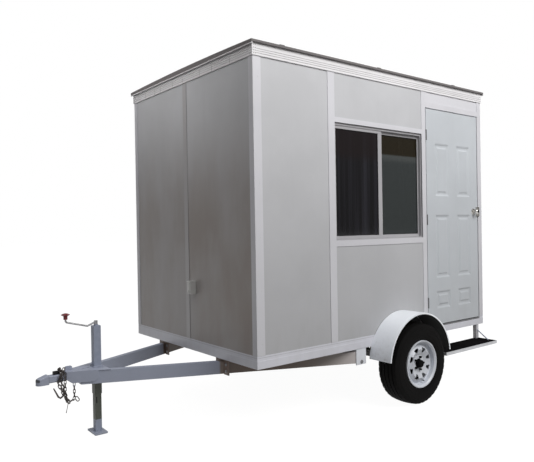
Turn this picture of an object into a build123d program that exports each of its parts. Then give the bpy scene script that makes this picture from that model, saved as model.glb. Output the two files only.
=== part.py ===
from build123d import *
import math
import os

# A portable office cabin of insulated panels on a single-axle trailer, with a drawbar,
# a screw jack, a side door with a step, and a two-pane sliding window.
# Millimetres. The drawbar points to -X, the door side faces -Y, +Z is up. The origin is on
# the ground, under the middle of the whole length and width.

# Cabin shell
CABIN_LENGTH = 3000
CABIN_WIDTH = 2020
UNDERSIDE_HEIGHT = 535
WALL_THICKNESS = 60
LINTEL_PANEL_HEIGHT = 151
TRIM_THICKNESS = 4
JOIST_HEIGHT = 42
JOIST_WIDTH = 45
JOIST_COUNT = 7
DECK_THICKNESS = 18
JOINT_GAP = 0.5
CUT_OVERRUN = 5

# White trims: base band, corner angles and the H strips between panels
BASE_TRIM_HEIGHT = 96
BASE_BAND_HEIGHT = 60
BASE_LIP_THICKNESS = 2.5
CORNER_LEG_SIDE = 76
CORNER_LEG_END = 56
STRIP_WEB = 6
END_STRIP_WIDTH = 61
SIDE_STRIP_WIDTH = 76
SIDE_STRIP_FROM_FRONT = 803

# Roof
ROOF_PANEL_THICKNESS = 40
ROOF_OVERHANG = 25
ROOF_SHEET_THICKNESS = 18
ROOF_CAMBER = 14
ROOF_DRIP = 14
ROOF_DRIP_THICKNESS = 10
ROOF_RIB_HEIGHT = 5
ROOF_RIB_WIDTH = 45
ROOF_RIB_PITCH = 1110
ROOF_RIB_COUNT = 3
ROOF_RIB_AHEAD = 120
FASCIA_HEIGHT = 92
FASCIA_PROUD = 6
FASCIA_GROOVE_DEPTH = 2.5
FASCIA_GROOVE_WIDTH = 4
FASCIA_GROOVE_HEIGHT_SHARES = (0.2, 0.38, 0.56)
FASCIA_CAP_LENGTH = 34
FASCIA_CAP_PROUD = 1.5

# Window, all heights above the cabin's underside
WINDOW_SILL_HEIGHT = 912
WINDOW_HEAD_HEIGHT = 1945
WINDOW_SILL_TRIM = 52
WINDOW_HEAD_TRIM = 42
WINDOW_FRAME_REVEAL = 10
WINDOW_FRAME_SETBACK = 14
WINDOW_HEAD_TRACK = 36
WINDOW_SILL_TRACK = 30
SASH_THICKNESS = 16
SASH_SPACING = 4
SASH_SETBACK = 6
SASH_STILE = 14
SASH_RAIL = 25
MEETING_STILE = 50
GLASS_THICKNESS = 5

# Doorway and door, hinged on its front edge and opening outwards
DOOR_WIDTH = 858
DOOR_HEIGHT = 2096
DOOR_THICKNESS = 40
DOOR_GAP = 7
DOOR_STOP_GAP = 6
DOOR_STOP_WIDTH = 14
HINGE_GAP = 10
THRESHOLD_HEIGHT = 15
DOOR_HEAD_HEIGHT = 53
LATCH_JAMB_WIDTH = 65
HINGE_JAMB_WIDTH = 30
DOOR_STRIP_WIDTH = 61
DOOR_STRIP_OVERLAP = 28
DOOR_PANEL_COLUMNS_WIDTH = 225
DOOR_STILE = 137
DOOR_PANEL_DEPTH = 9
DOOR_PANEL_BEVEL = 18
DOOR_FIELD_INSET = 34
DOOR_FIELD_HEIGHT = 7
DOOR_PANEL_LOW_SHARES = (0.073, 0.216, 0.599)
DOOR_PANEL_HIGH_SHARES = (0.154, 0.511, 0.844)
HINGE_RADIUS = 6
HINGE_PIN_RADIUS = 3
HINGE_PIN_CLEARANCE = 0.1
HINGE_HEIGHT = 100
HINGE_AXIS_PROUD = 3
HINGE_PLATE = 2
HINGE_PLATE_DEPTH = 36
HINGE_HEIGHT_SHARES = (0.105, 0.488, 0.878)
KNOB_HEIGHT_SHARE = 0.527
KNOB_BACKSET = 76
KNOB_RADIUS = 27
KNOB_ROSE_RADIUS = 33
KNOB_ROSE_THICKNESS = 9
KNOB_NECK_RADIUS = 13
KNOB_REACH = 62
GUARD_WIDTH = 50
GUARD_HEIGHT = 96
GUARD_THICKNESS = 4
GUARD_BLOCK_WIDTH = 22
GUARD_CLEARANCE = 5

# Power inlet on the front wall
INLET_WIDTH = 56
INLET_HEIGHT = 112
INLET_DEPTH = 52
INLET_BOTTOM = 495
INLET_FROM_STRIP = 50
INLET_ROUND = 6
INLET_LID_OVERHANG = 4
INLET_LID_THICKNESS = 10

# Drawbar, crossbeam and coupler
DRAWBAR_REACH = 1300
DRAWBAR_FRONT_HALF_SPREAD = 72
RAIL_WIDTH = 51
RAIL_HEIGHT = 100
RAIL_DROP = 22
RAIL_FRONT_REACH = 985
CROSSBEAM_AHEAD_OF_AXLE = 583
CROSSBEAM_WIDTH = 120
CROSSBEAM_PLATE_HEIGHT = 137
CROSSBEAM_PLATE_THICKNESS = 8
CLEAT_SETBACK = 20
CLEAT_LENGTH = 73
CLEAT_WIDTH = 62
CLEAT_HEIGHT = 127
CLEAT_PLATE = 9
COUPLER_PLATE = 6
COUPLER_SKIRT_DROP = 82
COUPLER_SKIRT_REACH = 872
COUPLER_SKIRT_BEVEL = 30
COUPLER_PLATE_REACH = 785
COUPLER_CHIN_REACH = 1048
COUPLER_BOX_REACH = 1085
COUPLER_BOX_HALF_WIDTH = 40
COUPLER_BOX_HEIGHT = 60
COUPLER_SLOT_LENGTH = 62
COUPLER_SLOT_WIDTH = 20
COUPLER_SLOT_AHEAD = 90
COUPLER_SLOT_ASIDE = 66
COUPLER_TAB_REACH = 1075
COUPLER_TAB_LENGTH = 54
COUPLER_TAB_WIDTH = 18
COUPLER_TAB_HEIGHT = 30
COUPLER_TAB_ASIDE = 28
COUPLER_TAB_ROUND = 12
NECK_HALF_WIDTH = 28
NECK_DROP = 6
NECK_HEIGHT = 55
NOSE_LENGTH = 88
NOSE_DROP = 2
NOSE_HEIGHT = 66
NOSE_TIP_HEIGHT = 42
COUPLER_ROUND = 9
NOSE_RADIUS = 36
SOCKET_RADIUS = 25.65
SOCKET_STRAIGHT = 22
SOCKET_DOME = 13
LATCH_REACH = 1174
LATCH_LENGTH = 51
LATCH_WIDTH = 26
LATCH_HEIGHT = 26
LATCH_ROUND = 8

# Safety chain: it hangs from a staple under the coupler, loops down and goes over the neck. Each
# turn is the bend between a link and the one before it.
CHAIN_WIRE_RADIUS = 3
CHAIN_BEND_RADIUS = 7.5
CHAIN_STRAIGHT = 18
CHAIN_GAP = 0.5
CHAIN_LOOP_TURNS = (0, 0, 0, 20, 50, 40, 50, 20, 0, 0, 0, 0)
CHAIN_OVER_TURNS = (0, 30, 30, 30, 30, 30, 30, 0)
CHAIN_ASIDE = 50.6
STAPLE_REACH = 1032
STAPLE_DROP = 102
STAPLE_DEPTH = 30

# Screw jack on the drawbar
JACK_REACH = 835
JACK_TUBE = 58
JACK_LEG = 51
JACK_SLIDE_CLEARANCE = 0.3
JACK_TUBE_TOP = 300
JACK_TUBE_DROP = 230
JACK_CAP_THICKNESS = 6
JACK_FLANGE = 76
JACK_FLANGE_THICKNESS = 5
JACK_LEG_ENGAGEMENT = 200
JACK_FOOT_LENGTH = 105
JACK_FOOT_WIDTH = 175
JACK_FOOT_THICKNESS = 10
JACK_FOOT_ROUND = 12
BEARING_RADIUS = 16
BEARING_HEIGHT = 10
SHAFT_RADIUS = 9
SHAFT_CLEARANCE = 0.3
SHAFT_ENGAGEMENT = 14
CRANK_HUB_RADIUS = 14
CRANK_HUB_HEIGHT = 28
CRANK_ROD_HEIGHT_SHARE = 0.7
CRANK_ROD_RADIUS = 7
CRANK_ELBOW_REACH = 68
CRANK_ELBOW_HEIGHT = 309
CRANK_END_REACH = 237
CRANK_END_HEIGHT = 356
CRANK_BEND_RADIUS = 16
CRANK_GRIP_HEIGHT = 378
CRANK_KNOB_TOP = 426
CRANK_KNOB_RADIUS = 34
CRANK_KNOB_STEM_RADIUS = 15

# Wheels, axle, springs and fenders
TYRE_RADIUS = 359
TYRE_WIDTH = 215
TYRE_GAP = 22
TYRE_SHOULDER = 34
TYRE_BEAD_RADIUS = 192
TYRE_SIDE_BULGE = 12
RIM_FLANGE_RADIUS = 208
RIM_FLANGE_WIDTH = 12
RIM_WELL_RADIUS = 172
RIM_BARREL = 6
RIM_LIP = 8
RIM_SEAT_WIDTH = 34
DISC_INSET = 42
DISC_THICKNESS = 8
DISC_DISH = 26
DISC_CROWN_RADIUS = 128
HUB_LENGTH = 120
HUB_CAP_RADIUS = 34
HUB_CAP_LENGTH = 38
HUB_PILOT_RADIUS = 42
WHEEL_WINDOW_COUNT = 8
WHEEL_WINDOW_INNER = 99
WHEEL_WINDOW_OUTER = 143
WHEEL_WINDOW_INNER_ANGLE = 11
WHEEL_WINDOW_OUTER_ANGLE = 24
WHEEL_WINDOW_ROUND = 6
LUG_COUNT = 5
LUG_CIRCLE_RADIUS = 57
LUG_RADIUS = 10
LUG_HEIGHT = 18
AXLE_AHEAD_OF_DOOR = 417
AXLE_SIZE = 52
SPINDLE_RADIUS = 17
SPINDLE_CLEARANCE = 0.3
HUB_AXLE_GAP = 6
SPRING_INSET = 90
SPRING_WIDTH = 60
SPRING_HALF_SPAN = 320
SPRING_SAG = 78
SPRING_LEAF = 8
SPRING_LEAF_COUNT = 3
SPRING_LEAF_STEP_SHARE = 0.24
SPRING_EYE_RADIUS = 15
SPRING_EYE_DROP = 52
HANGER_LENGTH = 56
HANGER_CHEEK = 7
HANGER_HEIGHT = 78
HANGER_CLEARANCE = 0.4
FENDER_RADIUS = 427
FENDER_RISE = 26
FENDER_WIDTH = 236
FENDER_SHEET = 4
FENDER_END_RISE = 46
FENDER_LIP = 14

# Entry step
STEP_FROM_JAMB = 15
STEP_OVER_DOOR_WIDTH = 12
STEP_DEPTH = 232
STEP_BACK_INSET = 44
STEP_DROP = 147
STEP_FRAME_HEIGHT = 30
STEP_FRAME_WALL = 5
STEP_TREAD_THICKNESS = 6
STEP_POST = 40
STEP_POST_INSET = 25
STEP_BRACE_RADIUS = 6
STEP_BRACE_DROP = 59
STEP_BRACE_REACH = 120

# Places that follow from the driving sizes
overall_length = DRAWBAR_REACH + CABIN_LENGTH + ROOF_OVERHANG
front_x = DRAWBAR_REACH - overall_length / 2
rear_x = front_x + CABIN_LENGTH
side_y = CABIN_WIDTH / 2
panel_inner = TRIM_THICKNESS + WALL_THICKNESS
deck_bottom = UNDERSIDE_HEIGHT + JOIST_HEIGHT
deck_top = deck_bottom + DECK_THICKNESS
threshold_top = deck_top + THRESHOLD_HEIGHT
leaf_bottom = threshold_top + DOOR_STOP_GAP
leaf_top = leaf_bottom + DOOR_HEIGHT
head_bottom = leaf_top + DOOR_GAP
head_top = head_bottom + DOOR_HEAD_HEIGHT
wall_top = head_top + LINTEL_PANEL_HEIGHT
roof_top = wall_top + ROOF_PANEL_THICKNESS
fascia_bottom = roof_top - FASCIA_HEIGHT
base_top = UNDERSIDE_HEIGHT + BASE_TRIM_HEIGHT
band_top = UNDERSIDE_HEIGHT + BASE_BAND_HEIGHT
frame_length = CABIN_LENGTH - 2 * TRIM_THICKNESS
frame_width = CABIN_WIDTH - 2 * TRIM_THICKNESS
cabin_x = (front_x + rear_x) / 2

# Each wall plane has its origin on the trim face, X along the wall and Y into the cabin
left_wall = Plane(origin=(front_x, -side_y, 0), x_dir=(1, 0, 0), z_dir=(0, 0, 1))
right_wall = Plane(origin=(rear_x, side_y, 0), x_dir=(-1, 0, 0), z_dir=(0, 0, 1))
front_wall = Plane(origin=(front_x, 0, 0), x_dir=(0, -1, 0), z_dir=(0, 0, 1))
rear_wall = Plane(origin=(rear_x, 0, 0), x_dir=(0, 1, 0), z_dir=(0, 0, 1))

# Doorway and window along the left wall, measured from the cabin's front
latch_x = CABIN_LENGTH - LATCH_JAMB_WIDTH
leaf_end = latch_x - DOOR_GAP
leaf_start = leaf_end - DOOR_WIDTH
hinge_x = leaf_start - HINGE_GAP / 2
jamb_x = leaf_start - HINGE_GAP
door_strip_x = jamb_x - HINGE_JAMB_WIDTH - STRIP_WEB / 2
door_strip_end = door_strip_x + STRIP_WEB / 2 + DOOR_STRIP_OVERLAP
door_strip_start = door_strip_end - DOOR_STRIP_WIDTH
stop_y = TRIM_THICKNESS + DOOR_THICKNESS + DOOR_STOP_GAP
sill_z = UNDERSIDE_HEIGHT + WINDOW_SILL_HEIGHT
lintel_z = UNDERSIDE_HEIGHT + WINDOW_HEAD_HEIGHT
window_start = SIDE_STRIP_FROM_FRONT + STRIP_WEB / 2
window_end = door_strip_x - STRIP_WEB / 2
strip_edge = SIDE_STRIP_FROM_FRONT + SIDE_STRIP_WIDTH / 2

# Running gear and jack places
axle_from_front = jamb_x - AXLE_AHEAD_OF_DOOR
axle_x = front_x + axle_from_front
crossbeam_from_front = axle_from_front - CROSSBEAM_AHEAD_OF_AXLE
beam_half = frame_width / 2 - CROSSBEAM_PLATE_THICKNESS
rail_run = RAIL_FRONT_REACH + crossbeam_from_front
rail_slope = (beam_half - DRAWBAR_FRONT_HALF_SPREAD) / rail_run
wheel_y = side_y + TYRE_GAP + TYRE_WIDTH / 2
jack_x = front_x - JACK_REACH
link_inset = 2 * (CHAIN_BEND_RADIUS - CHAIN_WIRE_RADIUS) - CHAIN_GAP
rail_top = UNDERSIDE_HEIGHT - RAIL_DROP
rail_bottom = rail_top - RAIL_HEIGHT


def span(low, high):
    """The middle and the length of a stretch."""
    return (low + high) / 2, high - low


def block(plane, along, inward, height):
    """Adds a plain block to the open part, given by three (low, high) stretches on a plane."""
    middle_x, length = span(*along)
    middle_y, depth = span(*inward)
    with BuildSketch(plane.offset(height[0])) as outline:
        with Locations((middle_x, middle_y)):
            Rectangle(length, depth)
    extrude(outline.sketch, amount=height[1] - height[0])


def save(piece, name):
    """Labels a finished piece and writes its file."""
    piece.part.label = name
    export_step(piece.part, f"parts/{name}.step")


def joint_strip(wall, centre, width, cover):
    """Adds an H strip: a web between two panels, a flange inside and a cover (low, high) outside."""
    web = STRIP_WEB / 2
    inside = panel_inner + TRIM_THICKNESS
    block(wall, (centre - web, centre + web), (TRIM_THICKNESS, panel_inner), (deck_top, wall_top))
    block(wall, (centre - width / 2, centre + width / 2), (panel_inner, inside), (deck_top, wall_top))
    block(wall, cover, (0, TRIM_THICKNESS), (base_top, fascia_bottom))


def rail_outer(reach):
    """Half the drawbar's spread over its outer faces, at a reach ahead of the cabin's front."""
    return DRAWBAR_FRONT_HALF_SPREAD + (RAIL_FRONT_REACH - reach) * rail_slope


def chain_link(first, last, normal):
    """Adds a link of round wire to the open part, given the middles of its two end bends."""
    along = (last - first).normalized()
    across = normal.cross(along) * CHAIN_BEND_RADIUS
    for place, heading, run in ((first, along, last - first), (last, -along, first - last)):
        turned = across if heading is along else -across
        with BuildSketch(Plane(origin=place + turned, z_dir=heading)) as wire:
            Circle(CHAIN_WIRE_RADIUS)
        extrude(wire.sketch, amount=run.length)
        revolve(wire.sketch, axis=Axis(place, normal), revolution_arc=180)


def hang_chain(place, heading, bend_axis, turns, flat_from):
    """Adds links along a bent line and returns its end and heading. Every second link lies flat in
    the plane of the bends, counted from flat_from, and the bends are at the middles of its ends."""
    for number, turn in enumerate(turns):
        heading = heading.rotate(Axis((0, 0, 0), bend_axis), turn)
        if number % 2 == flat_from:
            end = place + heading * CHAIN_STRAIGHT
            chain_link(place, end, bend_axis)
        else:
            end = place + heading * (CHAIN_STRAIGHT + 2 * link_inset)
            first, last = place + heading * link_inset, end - heading * link_inset
            chain_link(first, last, heading.cross(bend_axis))
        place = end
    return place, heading


os.makedirs("parts", exist_ok=True)

# Floor: two side rails, the joists between them and a boarded deck
with BuildPart() as floor_rails:
    for side in (-1, 1):
        rail_y = side * (frame_width - JOIST_WIDTH) / 2
        with BuildSketch(Plane.XY.offset(UNDERSIDE_HEIGHT)):
            with Locations((cabin_x, rail_y)):
                Rectangle(frame_length, JOIST_WIDTH)
        extrude(amount=JOIST_HEIGHT)
save(floor_rails, "floor_rails")

with BuildPart() as floor_joists:
    with BuildSketch(Plane.XY.offset(UNDERSIDE_HEIGHT)):
        with Locations((cabin_x, 0)):
            joist_pitch = (frame_length - JOIST_WIDTH) / (JOIST_COUNT - 1)
            with GridLocations(joist_pitch, 0, JOIST_COUNT, 1):
                Rectangle(JOIST_WIDTH, frame_width - 2 * JOIST_WIDTH)
    extrude(amount=JOIST_HEIGHT)
save(floor_joists, "floor_joists")

with BuildPart() as floor_deck:
    with BuildSketch(Plane.XY.offset(deck_bottom)):
        with Locations((cabin_x, 0)):
            Rectangle(frame_length, frame_width)
    extrude(amount=DECK_THICKNESS)
save(floor_deck, "floor_deck")

# Base trims: a band with a thinner lip above it, one length along each wall
lip_y = TRIM_THICKNESS - BASE_LIP_THICKNESS
base_profile = (
    (0, UNDERSIDE_HEIGHT),
    (TRIM_THICKNESS, UNDERSIDE_HEIGHT),
    (TRIM_THICKNESS, base_top),
    (lip_y, base_top),
    (lip_y, band_top),
    (0, band_top),
)
end_trim_half = side_y - TRIM_THICKNESS - JOINT_GAP
with BuildPart() as base_trims:
    for wall, start, end in (
        (left_wall, 0, CABIN_LENGTH),
        (right_wall, 0, CABIN_LENGTH),
        (front_wall, -end_trim_half, end_trim_half),
        (rear_wall, -end_trim_half, end_trim_half),
    ):
        section_plane = Plane(
            origin=wall.from_local_coords((start, 0, 0)),
            x_dir=wall.y_dir,
            z_dir=wall.x_dir,
        )
        with BuildSketch(section_plane):
            with BuildLine():
                Polyline(*base_profile, close=True)
            make_face()
        extrude(amount=end - start)
    with BuildSketch(left_wall.offset(band_top)):
        with Locations(((jamb_x + latch_x) / 2, 0)):
            Rectangle(latch_x - jamb_x, 2 * TRIM_THICKNESS + CUT_OVERRUN)
    extrude(amount=BASE_TRIM_HEIGHT, mode=Mode.SUBTRACT)
save(base_trims, "base_trims")

# Corner trims: four angles, the rear ones narrowed to the latch jamb
with BuildPart() as corner_trims:
    for x, leg_side, toward in ((front_x, CORNER_LEG_SIDE, 1), (rear_x, LATCH_JAMB_WIDTH, -1)):
        for side in (-1, 1):
            inner_x = x + toward * TRIM_THICKNESS
            inner_side = side * (side_y - TRIM_THICKNESS)
            end_y = side * (side_y - CORNER_LEG_END)
            with BuildSketch(Plane.XY.offset(base_top)):
                with BuildLine():
                    Polyline(
                        (x, side * side_y),
                        (x + toward * leg_side, side * side_y),
                        (x + toward * leg_side, inner_side),
                        (inner_x, inner_side),
                        (inner_x, end_y),
                        (x, end_y),
                        close=True,
                    )
                make_face()
            extrude(amount=fascia_bottom - base_top, dir=(0, 0, 1))
save(corner_trims, "corner_trims")

# End walls: two panels each, either side of the middle strip
end_half = side_y - panel_inner
for wall, name in ((front_wall, "front_wall_panels"), (rear_wall, "rear_wall_panels")):
    with BuildPart() as end_wall:
        for low, high in ((-end_half, -STRIP_WEB / 2), (STRIP_WEB / 2, end_half)):
            block(wall, (low, high), (TRIM_THICKNESS, panel_inner), (deck_top, wall_top))
    save(end_wall, name)

# Right wall: three panels, with its strips opposite those of the left wall
panel_start = TRIM_THICKNESS
panel_end = CABIN_LENGTH - TRIM_THICKNESS
right_strips = (CABIN_LENGTH - door_strip_x, CABIN_LENGTH - SIDE_STRIP_FROM_FRONT)
with BuildPart() as right_wall_panels:
    edges = (panel_start, *right_strips, panel_end)
    for index, (low, high) in enumerate(zip(edges, edges[1:])):
        start = low + (STRIP_WEB / 2 if index else 0)
        end = high - (STRIP_WEB / 2 if high != panel_end else 0)
        block(right_wall, (start, end), (TRIM_THICKNESS, panel_inner), (deck_top, wall_top))
save(right_wall_panels, "right_wall_panels")

# Left wall: a full panel, panels under and over the window, and a header over the door
with BuildPart() as left_wall_panels:
    for start, end, low, high in (
        (panel_start, SIDE_STRIP_FROM_FRONT - STRIP_WEB / 2, deck_top, wall_top),
        (window_start, window_end, deck_top, sill_z),
        (window_start, window_end, lintel_z, wall_top),
        (door_strip_x + STRIP_WEB / 2, panel_end, head_top, wall_top),
    ):
        block(left_wall, (start, end), (TRIM_THICKNESS, panel_inner), (low, high))
save(left_wall_panels, "left_wall_panels")

# Joint strips: one on each end wall, two on each long wall, the last beside the doorway
with BuildPart() as wall_strips:
    for wall, centre, width in (
        (front_wall, 0, END_STRIP_WIDTH),
        (rear_wall, 0, END_STRIP_WIDTH),
        (right_wall, right_strips[0], SIDE_STRIP_WIDTH),
        (right_wall, right_strips[1], SIDE_STRIP_WIDTH),
        (left_wall, SIDE_STRIP_FROM_FRONT, SIDE_STRIP_WIDTH),
    ):
        joint_strip(wall, centre, width, (centre - width / 2, centre + width / 2))
    joint_strip(left_wall, door_strip_x, STRIP_WEB, (door_strip_start, door_strip_end))
save(wall_strips, "wall_strips")

# Window: T trims at sill and head, a frame of four lengths, two sashes and their glass
head_web = lintel_z - STRIP_WEB
sill_web = sill_z + STRIP_WEB
with BuildPart() as window_trims:
    for web, flange, height in (
        ((sill_z, sill_web), sill_z - WINDOW_SILL_TRIM / 2, WINDOW_SILL_TRIM),
        ((head_web, lintel_z), lintel_z - WINDOW_HEAD_TRIM / 2, WINDOW_HEAD_TRIM),
    ):
        block(left_wall, (window_start, window_end), (TRIM_THICKNESS, panel_inner), web)
        block(left_wall, (strip_edge, door_strip_start), (0, TRIM_THICKNESS), (flange, flange + height))
save(window_trims, "window_trims")

frame_left = strip_edge + WINDOW_FRAME_REVEAL
frame_right = door_strip_start - WINDOW_FRAME_REVEAL
track_bottom = sill_web + WINDOW_SILL_TRACK
track_top = head_web - WINDOW_HEAD_TRACK
frame_depth = (WINDOW_FRAME_SETBACK, panel_inner)
with BuildPart() as window_frame:
    block(left_wall, (window_start, window_end), frame_depth, (sill_web, track_bottom))
    block(left_wall, (window_start, window_end), frame_depth, (track_top, head_web))
    for along in ((window_start, frame_left), (frame_right, window_end)):
        block(left_wall, along, frame_depth, (track_bottom + JOINT_GAP, track_top - JOINT_GAP))
save(window_frame, "window_frame")

sash_front = WINDOW_FRAME_SETBACK + SASH_SETBACK
sash_middle = (frame_left + frame_right) / 2
sash_low = track_bottom + JOINT_GAP
sash_high = track_top - JOINT_GAP
glass_low = sash_low + SASH_RAIL
glass_high = sash_high - SASH_RAIL
sashes = (
    (frame_left, sash_middle + MEETING_STILE / 2, SASH_STILE, MEETING_STILE, sash_front),
    (
        sash_middle - MEETING_STILE / 2,
        frame_right,
        MEETING_STILE,
        SASH_STILE,
        sash_front + SASH_THICKNESS + SASH_SPACING,
    ),
)
with BuildPart() as window_sashes:
    for start, end, stile_start, stile_end, depth in sashes:
        thick = (depth, depth + SASH_THICKNESS)
        for rail in ((sash_low, glass_low), (glass_high, sash_high)):
            block(left_wall, (start, end), thick, rail)
        for stile in ((start, start + stile_start), (end - stile_end, end)):
            block(left_wall, stile, thick, (glass_low + JOINT_GAP, glass_high - JOINT_GAP))
save(window_sashes, "window_sashes")

with BuildPart() as window_glass:
    for start, end, stile_start, stile_end, depth in sashes:
        pane = (start + stile_start, end - stile_end)
        pane_front = depth + (SASH_THICKNESS - GLASS_THICKNESS) / 2
        block(left_wall, pane, (pane_front, pane_front + GLASS_THICKNESS), (glass_low, glass_high))
save(window_glass, "window_glass")

# Door frame: two jambs and a head, each with its stop, and a threshold between the jambs
frame_start = door_strip_x + STRIP_WEB / 2
with BuildPart() as door_frame:
    jamb_top = head_bottom - JOINT_GAP
    for jamb, stop in (
        ((frame_start, jamb_x), (jamb_x, jamb_x + DOOR_STOP_WIDTH)),
        ((latch_x, panel_end), (latch_x - DOOR_STOP_WIDTH, latch_x)),
    ):
        block(left_wall, jamb, (TRIM_THICKNESS, panel_inner), (deck_top, jamb_top))
        block(left_wall, stop, (stop_y, panel_inner), (threshold_top, jamb_top - DOOR_STOP_WIDTH))
    block(left_wall, (frame_start, panel_end), (TRIM_THICKNESS, panel_inner), (head_bottom, head_top))
    block(left_wall, (door_strip_end, latch_x), (0, TRIM_THICKNESS), (head_bottom, head_top))
    stop_drop = (head_bottom - DOOR_STOP_WIDTH, head_bottom)
    block(left_wall, (jamb_x + JOINT_GAP, latch_x - JOINT_GAP), (stop_y, panel_inner), stop_drop)
save(door_frame, "door_frame")

with BuildPart() as door_threshold:
    block(left_wall, (jamb_x, latch_x), (0, panel_inner), (deck_top, threshold_top))
save(door_threshold, "door_threshold")

# Door leaf: six embossed panels on each face, the small pair at the bottom
leaf_middle = (leaf_start + leaf_end) / 2
column_pitch = DOOR_WIDTH - 2 * DOOR_STILE - DOOR_PANEL_COLUMNS_WIDTH
with BuildPart() as door_leaf:
    leaf_depth = (TRIM_THICKNESS, TRIM_THICKNESS + DOOR_THICKNESS)
    block(left_wall, (leaf_start, leaf_end), leaf_depth, (leaf_bottom, leaf_top))
    for depth, outward in ((leaf_depth[0], -1), (leaf_depth[1], 1)):
        face_plane = Plane(
            origin=left_wall.from_local_coords((leaf_middle, depth, leaf_bottom)),
            x_dir=(-outward, 0, 0),
            z_dir=(0, outward, 0),
        )
        for low_share, high_share in zip(DOOR_PANEL_LOW_SHARES, DOOR_PANEL_HIGH_SHARES):
            panel_height = (high_share - low_share) * DOOR_HEIGHT
            panel_z = (high_share + low_share) / 2 * DOOR_HEIGHT
            with BuildSketch(face_plane):
                with Locations((0, panel_z)):
                    with GridLocations(column_pitch, 0, 2, 1):
                        Rectangle(DOOR_PANEL_COLUMNS_WIDTH, panel_height)
            bevel = math.degrees(math.atan(DOOR_PANEL_BEVEL / DOOR_PANEL_DEPTH))
            extrude(amount=-DOOR_PANEL_DEPTH, taper=bevel, mode=Mode.SUBTRACT)
            with BuildSketch(face_plane.offset(-DOOR_PANEL_DEPTH)):
                with Locations((0, panel_z)):
                    with GridLocations(column_pitch, 0, 2, 1):
                        inset = 2 * DOOR_FIELD_INSET
                        Rectangle(DOOR_PANEL_COLUMNS_WIDTH - inset, panel_height - inset)
            extrude(amount=DOOR_FIELD_HEIGHT, taper=bevel)
save(door_leaf, "door_leaf")

# Hinges: outer knuckles, pin and plate on the jamb, middle knuckle and plate on the leaf
knuckle = (HINGE_HEIGHT - 2 * JOINT_GAP) / 3
hinge_base = left_wall.from_local_coords((hinge_x, -HINGE_AXIS_PROUD, leaf_bottom))
with BuildPart() as door_hinge_pins:
    for share in HINGE_HEIGHT_SHARES:
        low = leaf_bottom + share * DOOR_HEIGHT - HINGE_HEIGHT / 2
        high = low + HINGE_HEIGHT
        for start in (low, high - knuckle):
            with BuildSketch(Plane(origin=(hinge_base.X, hinge_base.Y, start))):
                Circle(HINGE_RADIUS)
            extrude(amount=knuckle)
            tab = (jamb_x, jamb_x + HINGE_PLATE)
            block(left_wall, tab, (-HINGE_AXIS_PROUD, TRIM_THICKNESS), (start, start + knuckle))
        block(left_wall, tab, (TRIM_THICKNESS, HINGE_PLATE_DEPTH), (low, high))
        with BuildSketch(Plane(origin=(hinge_base.X, hinge_base.Y, low))):
            Circle(HINGE_PIN_RADIUS)
        extrude(amount=HINGE_HEIGHT)
save(door_hinge_pins, "door_hinge_pins")

with BuildPart() as door_hinge_leaves:
    for share in HINGE_HEIGHT_SHARES:
        low = leaf_bottom + share * DOOR_HEIGHT - HINGE_HEIGHT / 2
        start = low + knuckle + JOINT_GAP
        tab = (leaf_start - HINGE_PLATE, leaf_start)
        with BuildSketch(Plane(origin=(hinge_base.X, hinge_base.Y, start))):
            Circle(HINGE_RADIUS)
        extrude(amount=knuckle)
        block(left_wall, tab, (-HINGE_AXIS_PROUD, TRIM_THICKNESS), (start, start + knuckle))
        block(left_wall, tab, (TRIM_THICKNESS, HINGE_PLATE_DEPTH), (low, low + HINGE_HEIGHT))
        with BuildSketch(Plane(origin=(hinge_base.X, hinge_base.Y, start))):
            Circle(HINGE_PIN_RADIUS + HINGE_PIN_CLEARANCE)
        extrude(amount=knuckle, mode=Mode.SUBTRACT)
save(door_hinge_leaves, "door_hinge_leaves")

# Door knobs inside and outside, and the guard plate over the latch
knob_z = leaf_bottom + KNOB_HEIGHT_SHARE * DOOR_HEIGHT
with BuildPart() as door_knobs:
    for depth, outward in ((leaf_depth[0], -1), (leaf_depth[1], 1)):
        knob_plane = Plane(
            origin=left_wall.from_local_coords((leaf_end - KNOB_BACKSET, depth, knob_z)),
            x_dir=(1, 0, 0),
            z_dir=(0, 0, 1),
        )
        grip = KNOB_REACH - KNOB_RADIUS
        with BuildSketch(knob_plane):
            with BuildLine():
                Polyline(
                    (0, 0),
                    (KNOB_ROSE_RADIUS, 0),
                    (KNOB_ROSE_RADIUS - KNOB_ROSE_THICKNESS / 2, outward * KNOB_ROSE_THICKNESS),
                    (KNOB_NECK_RADIUS, outward * KNOB_ROSE_THICKNESS),
                    (KNOB_NECK_RADIUS, outward * (grip - KNOB_NECK_RADIUS)),
                    (KNOB_RADIUS, outward * grip),
                )
                ThreePointArc(
                    (KNOB_RADIUS, outward * grip),
                    (KNOB_RADIUS * math.sqrt(3) / 2, outward * (grip + KNOB_RADIUS / 2)),
                    (0, outward * KNOB_REACH),
                )
                Line((0, outward * KNOB_REACH), (0, 0))
            make_face()
        revolve(axis=Axis(knob_plane.origin, (0, 1, 0)))
save(door_knobs, "door_knobs")

with BuildPart() as latch_guard:
    guard_z = (knob_z - GUARD_HEIGHT / 2, knob_z + GUARD_HEIGHT / 2)
    guard_end = latch_x + GUARD_WIDTH / 4
    guard_start = guard_end - GUARD_WIDTH
    plate_y = (-GUARD_CLEARANCE - GUARD_THICKNESS, -GUARD_CLEARANCE)
    block(left_wall, (guard_start, guard_end), plate_y, guard_z)
    foot = (guard_start, guard_start + GUARD_BLOCK_WIDTH)
    block(left_wall, foot, (-GUARD_CLEARANCE, TRIM_THICKNESS), guard_z)
save(latch_guard, "latch_guard")

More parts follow.
